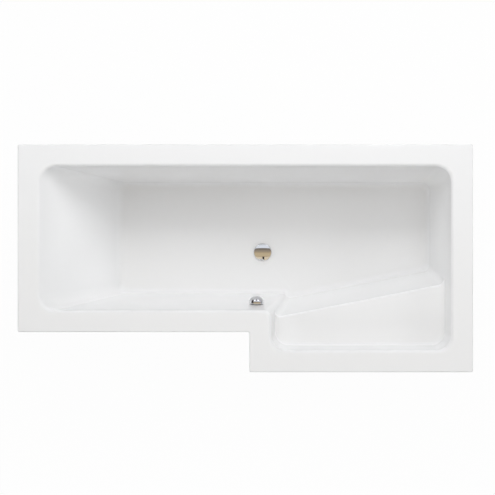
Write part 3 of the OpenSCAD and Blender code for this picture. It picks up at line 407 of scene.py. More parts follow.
def carve(piece, tool, operation="DIFFERENCE"):
    """An exact boolean of a piece with a tool, which it uses up."""
    cut = piece.modifiers.new("cut", "BOOLEAN")
    cut.object, cut.operation, cut.solver = tool, operation, "EXACT"
    settle(piece)
    bpy.data.objects.remove(tool)


def put_on(piece, body, slot, *nodes):
    """The piece rides on its body and stands for its CAD nodes, which are hidden. The slot is not used."""
    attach(piece, body)
    if nodes:
        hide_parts(*nodes)


def face_out(mesh):
    with opened(mesh) as work:
        bmesh.ops.recalc_face_normals(work, faces=work.faces)


def dress(node, material, slot, edge):
    """A merged copy of a CAD node with rounded edges and a finish, which replaces it."""
    mesh = frame["nodes"][node].data.copy()
    mesh.name = f"{node}_finished"
    with opened(mesh) as work:
        bmesh.ops.remove_doubles(work, verts=work.verts, dist=MERGED)
        bmesh.ops.dissolve_limit(work, angle_limit=radians(FLAT), verts=work.verts,
                                 edges=work.edges)
    made = new_object(mesh.name, mesh, material)
    smooth_by_angle(mesh)
    if edge:
        bevel = made.modifiers.new("edge", "BEVEL")
        bevel.width = edge
        bevel.segments = 2
        bevel.limit_method = "ANGLE"
        bevel.angle_limit = radians(SHARP)
        settle(made)
        smooth_by_angle(made.data)
    body = next(b for b, nodes in frame["record"]["behaviour"]["bodies"].items() if node in nodes)
    put_on(made, body, slot, node)


def turned(name, profile, material, place=None, sides=96):
    """A solid of revolution about Z from (radius, height) points, closed at its poles."""
    points, rows = [], []
    for radius, height in profile:
        if radius < MERGED:  # a pole
            rows.append([len(points)])
            points.append(Vector((0, 0, height)))
        else:
            rows.append(list(range(len(points), len(points) + sides)))
            points += [Vector((radius * cos(2 * pi * k / sides), radius * sin(2 * pi * k / sides),
                               height)) for k in range(sides)]
    faces = []
    for a, b in zip(rows, rows[1:] + (rows[:1] if len(rows[0]) > 1 else [])):
        for k in range(sides):
            m = (k + 1) % sides
            corners = [a[k % len(a)], a[m % len(a)], b[m % len(b)], b[k % len(b)]]
            faces.append(list(dict.fromkeys(corners)))
    if place is not None:
        points = [place @ p for p in points]
    made = mesh_object(name, points, [face for face in faces if len(face) > 2], material)
    face_out(made.data)
    smooth_by_angle(made.data)
    return made


def arc(centre, radius, start, end, steps):
    """Points of an arc, with its angles in degrees."""
    turns = [radians(start + (end - start) * k / steps) for k in range(steps + 1)]
    return [(centre[0] + radius * cos(t), centre[1] + radius * sin(t)) for t in turns]


def middle(box):
    """The middle of a box, given as its low and high corners."""
    return (box[0] + box[1]) / 2


# %% [markdown]
# ## The moulding
# The tub is one sheet of acrylic, drawn down into a mould. Its walls are flat planes that lean
# in, joined by round corners, so a horizontal cut at any depth is the same kind of outline: a
# list of walls, each a direction and a distance, with a radius between neighbours. The tub is
# a loft through such outlines. The same rule made the CAD solid. Here the loft is finer, with
# points along the straight walls too, so that it shades as one smooth skin.

# %% Sizes of the moulding
SHOWER_LENGTH = 0.835
NARROW_DEPTH = 0.700
RIM_WIDTH = 0.080
RIM_CORNER = 0.007
LIP_HEIGHT = 0.034
LIP_THICKNESS = 0.005
LIP_RADIUS = 0.004
LIP_EDGE = 0.0006
ROLL = 0.012  # radius of the edge into the well
WELL_DEPTH = 0.400
SKIN = 0.007
WALL_RUN = 0.057  # how far a wall leans in from rim to floor
BACK_RUN = 0.282  # the same for the backrest
FLOOR_FILLET = 0.022
BACK_FILLET = 0.040
WELL_CORNER = 0.060
FLOOR_CORNER = 0.034
STEP_CORNER = 0.030
FLOOR_FALL = 0.006
SHELF_DEPTH = 0.118
SHELF_WIDTH = 0.103
SHELF_ANGLE = 11.2
SHELF_FALL = 0.004
SHELF_EDGE = 0.009
SHELF_FILLET = 0.014
FACE_RUN = 0.058  # the lean of the slanting face below the shelf
FACE_CORNER = 0.028
BEND_RADIUS = 0.019
STEP_TURN = 45
FLAT_ZONE = 0.060
EDGE_DEPTH = SHELF_DEPTH + SHELF_FALL
SHELF_RUN = WALL_RUN * SHELF_DEPTH / WELL_DEPTH
SLANT = 270 + SHELF_ANGLE

half_length = tub_high.x
half_depth = tub_high.y
step_x = half_length - SHOWER_LENGTH
narrow_y = half_depth - NARROW_DEPTH
side_lean = atan2(WALL_RUN, WELL_DEPTH)
flange_low, flange_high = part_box("waste_flange")
WASTE = Vector(middle((flange_low, flange_high))[:2])
print("waste at", tuple(round(v, 4) for v in WASTE))

# %% Outlines of the well
CORNER_STEPS = 18
SIDE_STEPS = 10


def meet(a, b):
    """Where two walls, each (direction in degrees, distance), cross."""
    s = sin(radians(b[0] - a[0]))
    return Vector(((a[1] * sin(radians(b[0])) - b[1] * sin(radians(a[0]))) / s,
                   (b[1] * cos(radians(a[0])) - a[1] * cos(radians(b[0]))) / s))


def outline(walls, radii, grow):
    """Points round the walls: an arc at each corner, then points along the straight."""
    arcs = []
    for a, b, radius in zip(walls, walls[1:] + [(360, walls[0][1])], radii):
        radius += grow
        centre = meet((a[0], a[1] + grow - radius), (b[0], b[1] + grow - radius))
        turns = [radians(a[0] + (b[0] - a[0]) * k / CORNER_STEPS) for k in range(CORNER_STEPS + 1)]
        arcs.append([centre + radius * Vector((cos(t), sin(t))) for t in turns])
    points = []
    for this, following in zip(arcs, arcs[1:] + arcs[:1]):
        points += this
        points += [this[-1].lerp(following[0], k / SIDE_STEPS) for k in range(1, SIDE_STEPS)]
    return points


def wall_inset(depth, run, height, fillet, roll):
    """How far in a leaning wall is at a depth: a rolled edge, a plane, then a fillet."""
    lean = atan2(run, height)
    rise = height - depth
    if depth < roll * (1 - sin(lean)):
        return sqrt(max(0, depth * (2 * roll - depth))) - roll * tan(pi / 4 - lean / 2)
    if rise > fillet * (1 - sin(lean)):
        return run * depth / height
    foot = run + fillet * (1 / cos(lean) - tan(lean))
    return foot - sqrt(max(0, rise * (2 * fillet - rise)))


def side_inset(depth):
    return wall_inset(depth, WALL_RUN, WELL_DEPTH, FLOOR_FILLET, ROLL)


def along(direction, point):
    """How far a point lies in a direction."""
    return point[0] * cos(radians(direction)) + point[1] * sin(radians(direction))


edge_start = (step_x + RIM_WIDTH + side_inset(EDGE_DEPTH),
              RIM_WIDTH - half_depth + SHELF_RUN + SHELF_WIDTH)


def well_outline(depth, slanted, grow=0.0):
    """The outline of the well at a depth: above the shelf, or slanted below it."""
    inset = side_inset(depth)
    back = wall_inset(depth, BACK_RUN, WELL_DEPTH, BACK_FILLET, ROLL)
    corner = WELL_CORNER + (FLOOR_CORNER - WELL_CORNER) * depth / WELL_DEPTH
    jut = STEP_CORNER + (BEND_RADIUS - STEP_CORNER) * min(1, depth / EDGE_DEPTH)
    # The short wall beside the step turns towards the corner below the shelf.
    turn = 180 + STEP_TURN * max(0, depth - EDGE_DEPTH) / (WELL_DEPTH - EDGE_DEPTH)
    step = along(turn, (step_x + RIM_WIDTH + inset, narrow_y + RIM_WIDTH + inset))
    if slanted:
        face = wall_inset(depth - EDGE_DEPTH, FACE_RUN, WELL_DEPTH - EDGE_DEPTH, FLOOR_FILLET,
                          SHELF_EDGE)
        front, radii = (SLANT, along(SLANT, edge_start) - face), [BEND_RADIUS, FACE_CORNER]
    else:
        wall = wall_inset(depth, SHELF_RUN, SHELF_DEPTH, SHELF_FILLET, ROLL)
        front, radii = (270, half_depth - RIM_WIDTH - wall), [corner, corner]
    walls = [(0, half_length - RIM_WIDTH - inset), (90, half_depth - RIM_WIDTH - inset),
             (180, half_length - RIM_WIDTH - back), (270, -narrow_y - RIM_WIDTH - inset),
             (turn, step), front]
    return outline(walls, [corner] * 3 + [-jut] + radii, grow)


def rim_outline(grow):
    walls = [(0, half_length), (90, half_depth), (180, half_length), (270, -narrow_y),
             (180, -step_x), (270, half_depth)]
    return outline(walls, [RIM_CORNER] * 3 + [-RIM_CORNER] + [RIM_CORNER] * 2, grow)


# %% Depths of the rings
ROLL_STEPS = 10
FILLET_STEPS = 12
WALL_STEPS = 6
full_turn = pi / 2 - side_lean


def wall_depths(top, roll, bottom, fillet):
    """Depths down a rolled edge that starts level, a wall, and a fillet that ends level."""
    down = [top + roll * (1 - cos(full_turn * k / ROLL_STEPS)) for k in range(ROLL_STEPS + 1)]
    foot = [bottom - fillet * (1 - cos(full_turn * (1 - k / FILLET_STEPS)))
            for k in range(FILLET_STEPS + 1)]
    first, last = down[-1], foot[0]
    return down + [first + (last - first) * k / WALL_STEPS for k in range(1, WALL_STEPS)] + foot


upper = wall_depths(0, ROLL, SHELF_DEPTH, SHELF_FILLET)
lower = wall_depths(EDGE_DEPTH, SHELF_EDGE, WELL_DEPTH, FLOOR_FILLET)
print("rings down the well:", len(upper) + len(lower))


# %% [markdown]
# The rings run from the waste out over the floor, up the walls, over the rim and down its
# turned edge, and then back down the outside and in under the floor to the hole of the waste.
# That closes the skin, so the moulding is a solid sheet with the real thickness. Everything up
# to the turned edge is acrylic, and what lies behind it is the fibre backing.

# %% Rings of the skin
PAN_Z = RIM_Z - WELL_DEPTH - FLOOR_FALL  # flat round the waste
SEAT_DEPTH = 0.002
SEAT_GAP = 0.0004  # air round the flange in its seat
SEAT_ROUND = 0.0006
SEAT_Z = PAN_Z - SEAT_DEPTH
UNDER_Z = PAN_Z - SKIN
WASTE_HOLE = 0.026
PAN_WIDTH = 0.018  # the flat ring round the flange
flange_radius = (flange_high.x - flange_low.x) / 2
SEAT_RADIUS = flange_radius + SEAT_GAP
PAN_RADIUS = flange_radius + PAN_WIDTH
PAN_SUPPORT = 0.004  # ring that keeps the pan flat at its rim
RIM_SUPPORT = 0.003  # ring that keeps the rim's flat face flat beside each round edge
FLOOR_STEPS = 9
LIP_STEPS = 6

floor_edge = well_outline(WELL_DEPTH, True)


def at(points, z):
    return [Vector((p.x, p.y, z)) for p in points]


def round_waste(radius):
    return [WASTE + radius * (p - WASTE).normalized() for p in floor_edge]


def under(depth):
    """The height of the outside at a depth. It falls towards the floor as the floor does."""
    return (RIM_Z - depth - SKIN
            - FLOOR_FALL * max(0, depth - WELL_DEPTH + FLAT_ZONE) / FLAT_ZONE)


pan = round_waste(PAN_RADIUS)
skin = [at(round_waste(radius), z) for radius, z in (
    (WASTE_HOLE, UNDER_Z), (WASTE_HOLE, SEAT_Z), (SEAT_RADIUS, SEAT_Z),
    (SEAT_RADIUS, PAN_Z - SEAT_ROUND), (SEAT_RADIUS + SEAT_ROUND, PAN_Z),
    (PAN_RADIUS - PAN_SUPPORT, PAN_Z), (PAN_RADIUS, PAN_Z))]
for k in range(1, FLOOR_STEPS):
    share = k / FLOOR_STEPS
    skin.append(at([a.lerp(b, share) for a, b in zip(pan, floor_edge)], PAN_Z + FLOOR_FALL * share))
skin += [at(well_outline(d, True), RIM_Z - d) for d in reversed(lower)]
skin += [at(well_outline(d, False), RIM_Z - d) for d in reversed(upper)]
skin += [at(well_outline(0, False, RIM_SUPPORT), RIM_Z),
         at(rim_outline(-LIP_RADIUS - RIM_SUPPORT), RIM_Z)]
for k in range(LIP_STEPS + 1):
    turn = pi / 2 * k / LIP_STEPS
    skin.append(at(rim_outline(-LIP_RADIUS * (1 - sin(turn))),
                   RIM_Z - LIP_RADIUS * (1 - cos(turn))))
lip_low = RIM_Z - LIP_HEIGHT
skin += [at(rim_outline(grow), z) for grow, z in (
    (0, lip_low + LIP_EDGE), (-LIP_EDGE, lip_low), (LIP_EDGE - LIP_THICKNESS, lip_low))]
acrylic_rings = len(skin)
skin += [at(rim_outline(-LIP_THICKNESS), z) for z in (lip_low + LIP_EDGE, RIM_Z - SKIN)]
outside = upper[:ROLL_STEPS + 1:2] + upper[ROLL_STEPS + 1:]  # a coarser roll is enough there
skin += [at(well_outline(d, False, SKIN), under(d)) for d in outside]
skin += [at(well_outline(d, True, SKIN), under(d)) for d in lower]
skin += [at(pan, UNDER_Z)]
print("rings of the skin:", len(skin))

# %% Skin the rings
count = len(skin[0])
faces, finishes = [], []
for i in range(len(skin)):
    row, above = i * count, (i + 1) % len(skin) * count
    for j in range(count):
        k = (j + 1) % count
        faces.append((row + j, row + k, above + k, above + j))
        finishes.append(0 if 1 <= i < acrylic_rings else 1)
moulding = mesh_object("tub_moulding", [p for ring in skin for p in ring], faces, ACRYLIC)
moulding.data.materials.append(BACKING)
moulding.data.polygons.foreach_set("material_index", finishes)
face_out(moulding.data)
print("moulding:", len(faces), "faces")

# %% [markdown]
# The overflow's hole goes through the side wall square to it. One exact boolean with a drum
# cuts it. The hole's axis is the knob's own hinge in the frame, so that it can't drift away
# from the knob.

# %% Cut the hole of the overflow
knob_joint = next(j for j in frame["joints"] if j["name"] == "knob_turn")
OVERFLOW = Vector(knob_joint["pos_m"])
knob_axis = Vector(knob_joint["axis"]).normalized()
at_overflow = Matrix.Translation(OVERFLOW) @ knob_axis.to_track_quat("Z", "Y").to_matrix().to_4x4()
OVERFLOW_HOLE = 0.026
CUT = 0.020  # how far the drum reaches to both sides

carve(moulding, turned("overflow_cutter", [(0, -CUT), (OVERFLOW_HOLE, -CUT), (OVERFLOW_HOLE, CUT),
                                           (0, CUT)], BACKING, at_overflow))
smooth_by_angle(moulding.data, 30)
put_on(moulding, "bath", "acrylic", "tub_shell")
print("moulding after the cut:", len(moulding.data.polygons), "faces")

# %% [markdown]
# ## The plug and the knob
# These are the two bright points of the bath. Both are turned parts: a profile swept round an
# axis. The plug's cap is a very shallow dome with a small round at its rim. The knob is a full
# oval, a little boxier than half an ellipse, hollow behind, with a hub for its spindle. It is
# rounder than the CAD knob and stays inside that knob's box.

# %% Plug cap and waste flange
cap_low, cap_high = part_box("plug_cap")
plug_radius = (cap_high.x - cap_low.x) / 2
CAP_LIP = 0.0015
CAP_ROUND = 0.0009
CAP_FOOT = 0.0004  # radius of the lower edge
dome_rise = cap_high.z - cap_low.z - CAP_LIP
dome_radius = (plug_radius ** 2 + dome_rise ** 2) / 2 / dome_rise
dome_centre = cap_high.z - dome_radius
edge_x = plug_radius - CAP_ROUND
edge_z = dome_centre + sqrt((dome_radius - CAP_ROUND) ** 2 - edge_x ** 2)
dome_end = 90 - degrees(atan2(edge_x, edge_z - dome_centre))
cap_profile = ([(0, cap_high.z)] + arc((0, dome_centre), dome_radius, 90, dome_end, 24)[1:]
               + arc((edge_x, edge_z), CAP_ROUND, dome_end, 0, 5)[1:]
               + arc((plug_radius - CAP_FOOT, cap_low.z + CAP_FOOT), CAP_FOOT, 0, -90, 3)
               + [(0, cap_low.z)])
plug_cap = turned("plug_dome", cap_profile, CHROME, Matrix.Translation((*WASTE, 0)), 128)
put_on(plug_cap, "plug", "chrome", "plug_cap")
print(f"plug: radius {plug_radius / MM:.1f} mm, dome {dome_rise / MM:.1f} mm high")

# %% Overflow knob
knob_points = [at_overflow.inverted() @ v.co for v in frame["nodes"]["overflow_knob"].data.vertices]
knob_back = min(p.z for p in knob_points)
knob_length = max(p.z for p in knob_points) - knob_back
knob_radius = max(hypot(p.x, p.y) for p in knob_points)
KNOB_FULLNESS = 2.15  # 2 is half an ellipse, more is boxier
KNOB_WALL = 0.0035
KNOB_HUB = 0.008
KNOB_LIP = 0.0015
SPINDLE_BORE = 0.00405
SPINDLE_GRIP = 0.0144


def oval(radius, length, foot, steps):
    """Points of a full oval from its tip out to its radius, standing on the foot height."""
    turns = [pi / 2 * k / steps for k in range(steps + 1)]
    power = 2 / KNOB_FULLNESS
    return [(radius * sin(a) ** power, foot + length * max(cos(a), 0) ** power) for a in turns]


outer = oval(knob_radius, knob_length - KNOB_LIP, knob_back + KNOB_LIP, 48)
inner = oval(knob_radius - KNOB_WALL, knob_length - KNOB_WALL, knob_back, 32)
hollow = [point for point in reversed(inner) if point[0] > KNOB_HUB]
knob_profile = (outer + arc((knob_radius - KNOB_LIP, knob_back + KNOB_LIP), KNOB_LIP, 0, -90, 5)[1:]
                + hollow + [(KNOB_HUB, knob_back), (SPINDLE_BORE, knob_back),
                            (SPINDLE_BORE, knob_back + SPINDLE_GRIP),
                            (0, knob_back + SPINDLE_GRIP)])
knob = turned("overflow_knob_chrome", knob_profile, CHROME, at_overflow, 128)
put_on(knob, "knob", "chrome", "overflow_knob")
print(f"knob: radius {knob_radius / MM:.1f} mm, length {knob_length / MM:.1f} mm")

# %% [markdown]
# ## Dressed pieces
# The CAD shape of the other pieces is right, so each is dressed: merged, rounded at its edges
# and given its finish. Seals, bodies and the trap are seen from below. Pressed steel has
# slightly rounded folds, and sawn timber has a broken edge, so each kind has its own width.

# %% Dress the CAD pieces
DRESSED = (  # nodes, material, slot, and the width of their edges in millimetres
    ("waste_flange", CHROME, "chrome", 0.35),
    ("plug_stem", BRIGHT_STEEL, "screw_steel", 0.3),
    ("clamp_sleeve", BRASS, "brass", 0.3),
    ("overflow_rosette", CHROME, "chrome", 0.3),
    ("knob_spindle", BRIGHT_STEEL, "screw_steel", 0.3),
    ("waste_upper_seal waste_lower_seal plug_seal overflow_seal trap_washer outlet_seal",
     RUBBER, "seal_rubber", 0.25),
    ("waste_body rocker_cover overflow_body cable_drum_case cleaning_plug",
     GREY_PLASTIC, "grey_plastic", 0.5),
    ("trap_body trap_nut outlet_nut", WHITE_PLASTIC, "white_plastic", 0.4),
    ("lift_rocker", BLACK_PLASTIC, "dark_plastic", 0.3),
    ("cable_clips", BLACK_PLASTIC, "dark_plastic", 0),
    ("hose_clips", ZINC, "zinc_steel", 0.3),
    ("rosette_screws", BRIGHT_STEEL, "screw_steel", 0.3),
    ("head_cradle_bar shower_cradle_bar middle_bracket wall_brackets", ZINC, "zinc_steel", 0.6),
    ("rear_batten front_batten side_batten", PINE_X, "batten", 1.2),
    ("end_batten shower_batten step_batten", PINE_Y, "batten", 1.2),
    ("base_board", CHIPBOARD, "board", 0.8))
for nodes, material, slot, edge in DRESSED:
    for node in nodes.split():
        dress(node, material, slot, edge * MM)
print("dressed pieces:", sum(len(row[0].split()) for row in DRESSED))

# %% [markdown]
# ## Hose and cable
# A hose is a circle swept along a path. Geometry Nodes do that well: Curve to Mesh sweeps the
# circle, and its Scale input takes a wave along the path, which is what makes the ribs. The
# path's points are the same as the CAD's. A Solidify modifier gives the hose its thin wall.

# %% Paths
DOWN = Vector((0, 0, -1))
BODY_RADIUS = 0.030
BODY_HEIGHT = 0.056
SEAL = 0.004
CUP_DEPTH = 0.038
COLLAR = 0.018
BRANCH_RISE = 0.002  # how far the branch's collar stays above the floor of the body
BRANCH_REACH = 0.004  # how far it stands out of the body
SPOUT_GAP = 0.004
SPOUT_DROP = 0.040
HOSE_CORE = 0.016
HOSE_RIB = 0.0025
CABLE_RADIUS = 0.003
CABLE_GAP = 0.003
CABLE_TURN = -75  # degrees that the cable goes round the hose on its way
CABLE_DROP = 0.022  # its straight start
CASE_HOLE = (0.012, -0.024, -0.0065)  # in the drum's case: across, up, and from the cup's floor
COVER_WALL = 0.002
COVER_HOLE = 0.009  # height of the cable's hole in the rocker's cover
WALL_DEPTH = SKIN * (cos(side_lean) + sin(side_lean))  # through the wall, square to it
CUP_FLOOR = -WALL_DEPTH - SEAL - CUP_DEPTH  # the cup is behind the wall and its seal
branch_z = UNDER_Z - SEAL - BODY_HEIGHT + COLLAR + BRANCH_RISE
branch_mouth = Vector((WASTE.x, WASTE.y - BODY_RADIUS - BRANCH_REACH, branch_z))
spout_mouth = OVERFLOW + (CUP_FLOOR + COLLAR + SPOUT_GAP) * knob_axis + SPOUT_DROP * DOWN
FROM_BRANCH = [(0, 0, 0), (0, -42, 0), (0, -84, 0), (-5, -126, 11), (-9, -162, 39),
               (-14, -182, 79), (-18, -191, 123)]  # in millimetres
FROM_SPOUT = [(3, -2.5, -122), (0, 0, -84), (0, 0, -42), (0, 0, 0)]
hose_route = ([branch_mouth + MM * Vector(p) for p in FROM_BRANCH]
              + [spout_mouth + MM * Vector(p) for p in FROM_SPOUT])


def curve_point(route, t):
    """A point of the smooth curve through the route, with t from 0 to 1."""
    n = len(route) - 1
    i = min(n - 1, int(t * n))
    u = t * n - i
    p, q, r, s = route[max(0, i - 1)], route[i], route[i + 1], route[min(n, i + 2)]
    return 0.5 * (2 * q + (r - p) * u + (2 * p - 5 * q + 4 * r - s) * u ** 2
                  + (3 * q - p - 3 * r + s) * u ** 3)


def beside_hose(t):
    """A point of the cable, which lies against the hose and moves round it."""
    ahead = (curve_point(hose_route, t + 0.01) - curve_point(hose_route, t - 0.01)).normalized()
    side = (Vector((1, 0, 0)) - ahead * ahead.x).normalized()
    turn_here = radians(CABLE_TURN * t)
    return (curve_point(hose_route, t) + (HOSE_CORE + HOSE_RIB + CABLE_RADIUS + CABLE_GAP)
            * (cos(turn_here) * side + sin(turn_here) * ahead.cross(side)))


wall_up = Vector((0, -sin(side_lean), cos(side_lean)))
cable_start = (OVERFLOW + (CUP_FLOOR + CASE_HOLE[2]) * knob_axis
               + Vector((CASE_HOLE[0], 0, 0)) + CASE_HOLE[1] * wall_up)
cover_low, cover_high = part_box("rocker_cover")
cable_end = Vector(((cover_low.x + cover_high.x) / 2, cover_low.y + COVER_WALL,
                    cover_low.z + COVER_HOLE))
cable_route = ([cable_start, cable_start + CABLE_DROP * DOWN]
               + [beside_hose(t / 10) for t in range(8, 2, -1)]
               + [cable_end + MM * Vector(p) for p in ((-4, -88, 12), (0, -46, 0), (0, 0, 0))])


# %% Helpers for Geometry Nodes
def shape_group(name, inputs):
    """A geometry group with its geometry and material sockets, and with its own inputs."""
    return new_group(name, "GeometryNodeTree",
                     {"Geometry": ("NodeSocketGeometry", None), **inputs,
                      "Material": ("NodeSocketMaterial", None)},
                     {"Geometry": "NodeSocketGeometry"})


def give_out(tree, shape, material, result):
    """Ends a geometry group: its instances are made real and take the material."""
    real = add_node(tree, "GeometryNodeRealizeInstances", {"Geometry": shape})
    coloured = add_node(tree, "GeometryNodeSetMaterial",
                        {"Geometry": real["Geometry"], "Material": material})
    feed(tree, result, {"Geometry": coloured["Geometry"]})


def use_group(piece, group, values):
    """Puts a group on a piece. The modifier knows its inputs by their identifiers."""
    modifier = piece.modifiers.new(group.name, "NODES")
    modifier.node_group = group
    for item in group.interface.items_tree:
        if item.in_out == "INPUT" and item.name in values:
            modifier[item.identifier] = values[item.name]


# %% Geometry Nodes: a ribbed tube along a path
RIB_FULLNESS = 0.7  # the power of the wave: less makes fuller ribs

TUBE, given, result = shape_group(
    "ribbed_tube",
    {"Radius": (FLOAT, 0.016), "Rib": (FLOAT, 0.0025), "Ribs": (FLOAT, 46.0),
     "Cuff": (FLOAT, 0.05), "Rings": ("NodeSocketInt", 600), "Sides": ("NodeSocketInt", 40),
     "Caps": ("NodeSocketBool", False)})
rings = add_node(TUBE, "GeometryNodeResampleCurve",
                 {"Curve": given["Geometry"], "Count": given["Rings"]})
way = add_node(TUBE, "GeometryNodeSplineParameter")
past_cuff = maths(TUBE, "SUBTRACT", way["Factor"], given["Cuff"])
ribbed_share = maths(TUBE, "SUBTRACT", 1.0, maths(TUBE, "MULTIPLY", given["Cuff"], 2.0))
along_ribs = maths(TUBE, "DIVIDE", past_cuff, ribbed_share)
inside = maths(TUBE, "MULTIPLY", maths(TUBE, "GREATER_THAN", along_ribs, 0.0),
               maths(TUBE, "LESS_THAN", along_ribs, 1.0))
phase = maths(TUBE, "MULTIPLY", maths(TUBE, "MULTIPLY", along_ribs, given["Ribs"]), 2 * pi)
wave = maths(TUBE, "SUBTRACT", 0.5, maths(TUBE, "MULTIPLY", maths(TUBE, "COSINE", phase), 0.5))
rounder = maths(TUBE, "POWER", wave, RIB_FULLNESS)
bulge = maths(TUBE, "MULTIPLY", maths(TUBE, "MULTIPLY", rounder, inside), given["Rib"])
radius = maths(TUBE, "ADD", given["Radius"], bulge)
circle = add_node(TUBE, "GeometryNodeCurvePrimitiveCircle",
                  {"Resolution": given["Sides"], "Radius": 1.0})
swept = add_node(TUBE, "GeometryNodeCurveToMesh",
                 {"Curve": rings["Curve"], "Profile Curve": circle["Curve"],
                  "Scale": radius, "Fill Caps": given["Caps"]})
give_out(TUBE, swept["Mesh"], given["Material"], result)

# %% Sweep the hose
ROUTE_STEPS = 200
HOSE_WALL = 0.0016


def tube(name, route, material, **values):
    """A tube swept along a route, as a plain mesh piece."""
    data = bpy.data.curves.new(name, "CURVE")
    data.dimensions = "3D"
    spline = data.splines.new("POLY")
    spline.points.add(ROUTE_STEPS)
    for k, target in enumerate(spline.points):
        target.co = (*curve_point(route, k / ROUTE_STEPS), 1)
    path = new_object(f"{name}_path", data, None)
    use_group(path, TUBE, {**values, "Material": material})
    mesh = final_mesh(path)
    mesh.name = name
    bpy.data.objects.remove(path)
    face_out(mesh)
    mesh.shade_smooth()
    return new_object(name, mesh, material)


hose = tube("ribbed_hose", hose_route, HOSE_PLASTIC, Radius=HOSE_CORE, Rib=HOSE_RIB, Ribs=46.0,
            Cuff=0.05, Rings=560, Sides=32)
wall = hose.modifiers.new("wall", "SOLIDIFY")
wall.thickness = HOSE_WALL
wall.offset = -1
settle(hose)
smooth_by_angle(hose.data, 50)
put_on(hose, "bath", "hose_plastic", "overflow_hose")
print("hose:", len(hose.data.polygons), "faces")

# %% [markdown]
# The pull cable's sheath uses the same group with no ribs and with its ends closed. It leaves
# the drum's case, lies along the hose under its clips, and ends in the rocker's cover.

# %% Sweep the cable
cable = tube("cable_sheath", cable_route, BLACK_PLASTIC, Radius=CABLE_RADIUS, Rib=0.0,
             Rings=220, Sides=18, Caps=True)
smooth_by_angle(cable.data, 50)
put_on(cable, "bath", "dark_plastic", "pull_cable")
print("cable:", len(cable.data.polygons), "faces")

# %% [markdown]
# ## Screws, nuts, rods and feet
# Small hardware repeats, so one of each kind is modelled with care and Geometry Nodes place
# the rest. Where they go is read from the frame: each loose shell of a CAD node is one screw
# or nut, and its box gives its middle.


# %% Find the loose solids of a node
def solids_of(node):
    """The boxes of the separate solids in a CAD node, as (low, high) corners."""
    work = bmesh.new()
    work.from_mesh(frame["nodes"][node].data)
    bmesh.ops.remove_doubles(work, verts=work.verts, dist=MERGED)
    left, boxes = set(work.verts), []
    while left:
        front_verts, group = [left.pop()], []
        while front_verts:
            vert = front_verts.pop()
            group.append(vert.co.copy())
            for edge in vert.link_edges:
                other = edge.other_vert(vert)
                if other in left:
                    left.remove(other)
                    front_verts.append(other)
        boxes.append([Vector([pick(p[i] for p in group) for i in range(3)]) for pick in (min, max)])
    work.free()
    return sorted(boxes, key=lambda b: (round(b[0].x, 4), round(b[0].y, 4), b[0].z))


# %% Geometry Nodes: one piece on many points
SCATTER, given, result = shape_group("piece_on_points", {"Piece": ("NodeSocketObject", None)})
source = add_node(SCATTER, "GeometryNodeObjectInfo", {"Object": given["Piece"]})
spin = add_node(SCATTER, "FunctionNodeRandomValue", {3: 6.28, "Seed": 7}, data_type="FLOAT")
turn = add_node(SCATTER, "ShaderNodeCombineXYZ", {"Z": spin[1]})
copies = add_node(SCATTER, "GeometryNodeInstanceOnPoints",
                  {"Points": given["Geometry"], "Instance": source["Geometry"],
                   "Rotation": turn["Vector"]})
give_out(SCATTER, copies["Instances"], given["Material"], result)


def scatter(name, source_piece, node):
    """Copies of a steel piece at the solids of a CAD node, joined into one plain mesh."""
    places = [(*middle(box)[:2], box[0].z) for box in solids_of(node)]
    made = mesh_object(name, places, [], BRIGHT_STEEL)
    use_group(made, SCATTER, {"Piece": source_piece, "Material": BRIGHT_STEEL})
    settle(made)
    smooth_by_angle(made.data)
    bpy.data.objects.remove(source_piece)
    put_on(made, "bath", "screw_steel", node)
    print(name, len(places))


# %% [markdown]
# A wood screw here shows only its head, below the steel: a low cone with a cross recess. The
# recess is cut once, by a boolean, in the screw that is then repeated.

# %% Screws
SCREW_RADIUS = 0.0022
HEAD_RADIUS = 2 * SCREW_RADIUS
HEAD_HEIGHT = 0.0024
SCREW_TIP = 0.002
RECESS = (HEAD_RADIUS * 1.25, HEAD_RADIUS * 0.2, HEAD_HEIGHT * 1.2, 1)  # one arm of the cross


def wood_screw(name, length):
    """A screw whose head's face lies at height 0 and whose shank points up."""
    profile = [(0, 0), (HEAD_RADIUS * 0.86, 0), (HEAD_RADIUS, HEAD_HEIGHT * 0.2),
               (SCREW_RADIUS * 1.15, HEAD_HEIGHT), (SCREW_RADIUS, HEAD_HEIGHT + 0.0006),
               (SCREW_RADIUS, length - SCREW_TIP), (0, length)]
    screw = turned(name, profile, BRIGHT_STEEL, None, 28)
    for turn_angle in (0, pi / 2):
        mesh = bpy.data.meshes.new("recess")
        with opened(mesh) as bar:
            bmesh.ops.create_cube(bar, size=1, matrix=Matrix.Rotation(turn_angle, 4, "Z")
                                  @ Matrix.Diagonal(RECESS))
        carve(screw, new_object("recess", mesh, None))
    return screw


for name, node in (("cradle_wood_screws", "cradle_screws"),
                   ("bracket_wood_screws", "bracket_screws")):
    low, high = solids_of(node)[0]
    scatter(name, wood_screw(f"{name}_one", high.z - low.z), node)

# %% Nuts
NUT_FLATS = 0.019
NUT_HEIGHT = 0.008
NUT_SLOPE = 0.0011
ROD_RADIUS = 0.006
FIT = 0.00005
PAST = 0.001  # how far the bore's tool goes past both faces


def drum(name, radius, low, high, sides, slope=0.0):
    """A drum or prism, which may have chamfers twice as wide as they are high."""
    wall = [(radius, low), (radius, high)]
    if slope:
        wall = [(radius - 2 * slope, low), (radius, low + slope), (radius, high - slope),
                (radius - 2 * slope, high)]
    return turned(name, [(0, low)] + wall + [(0, high)], BRIGHT_STEEL, None, sides)


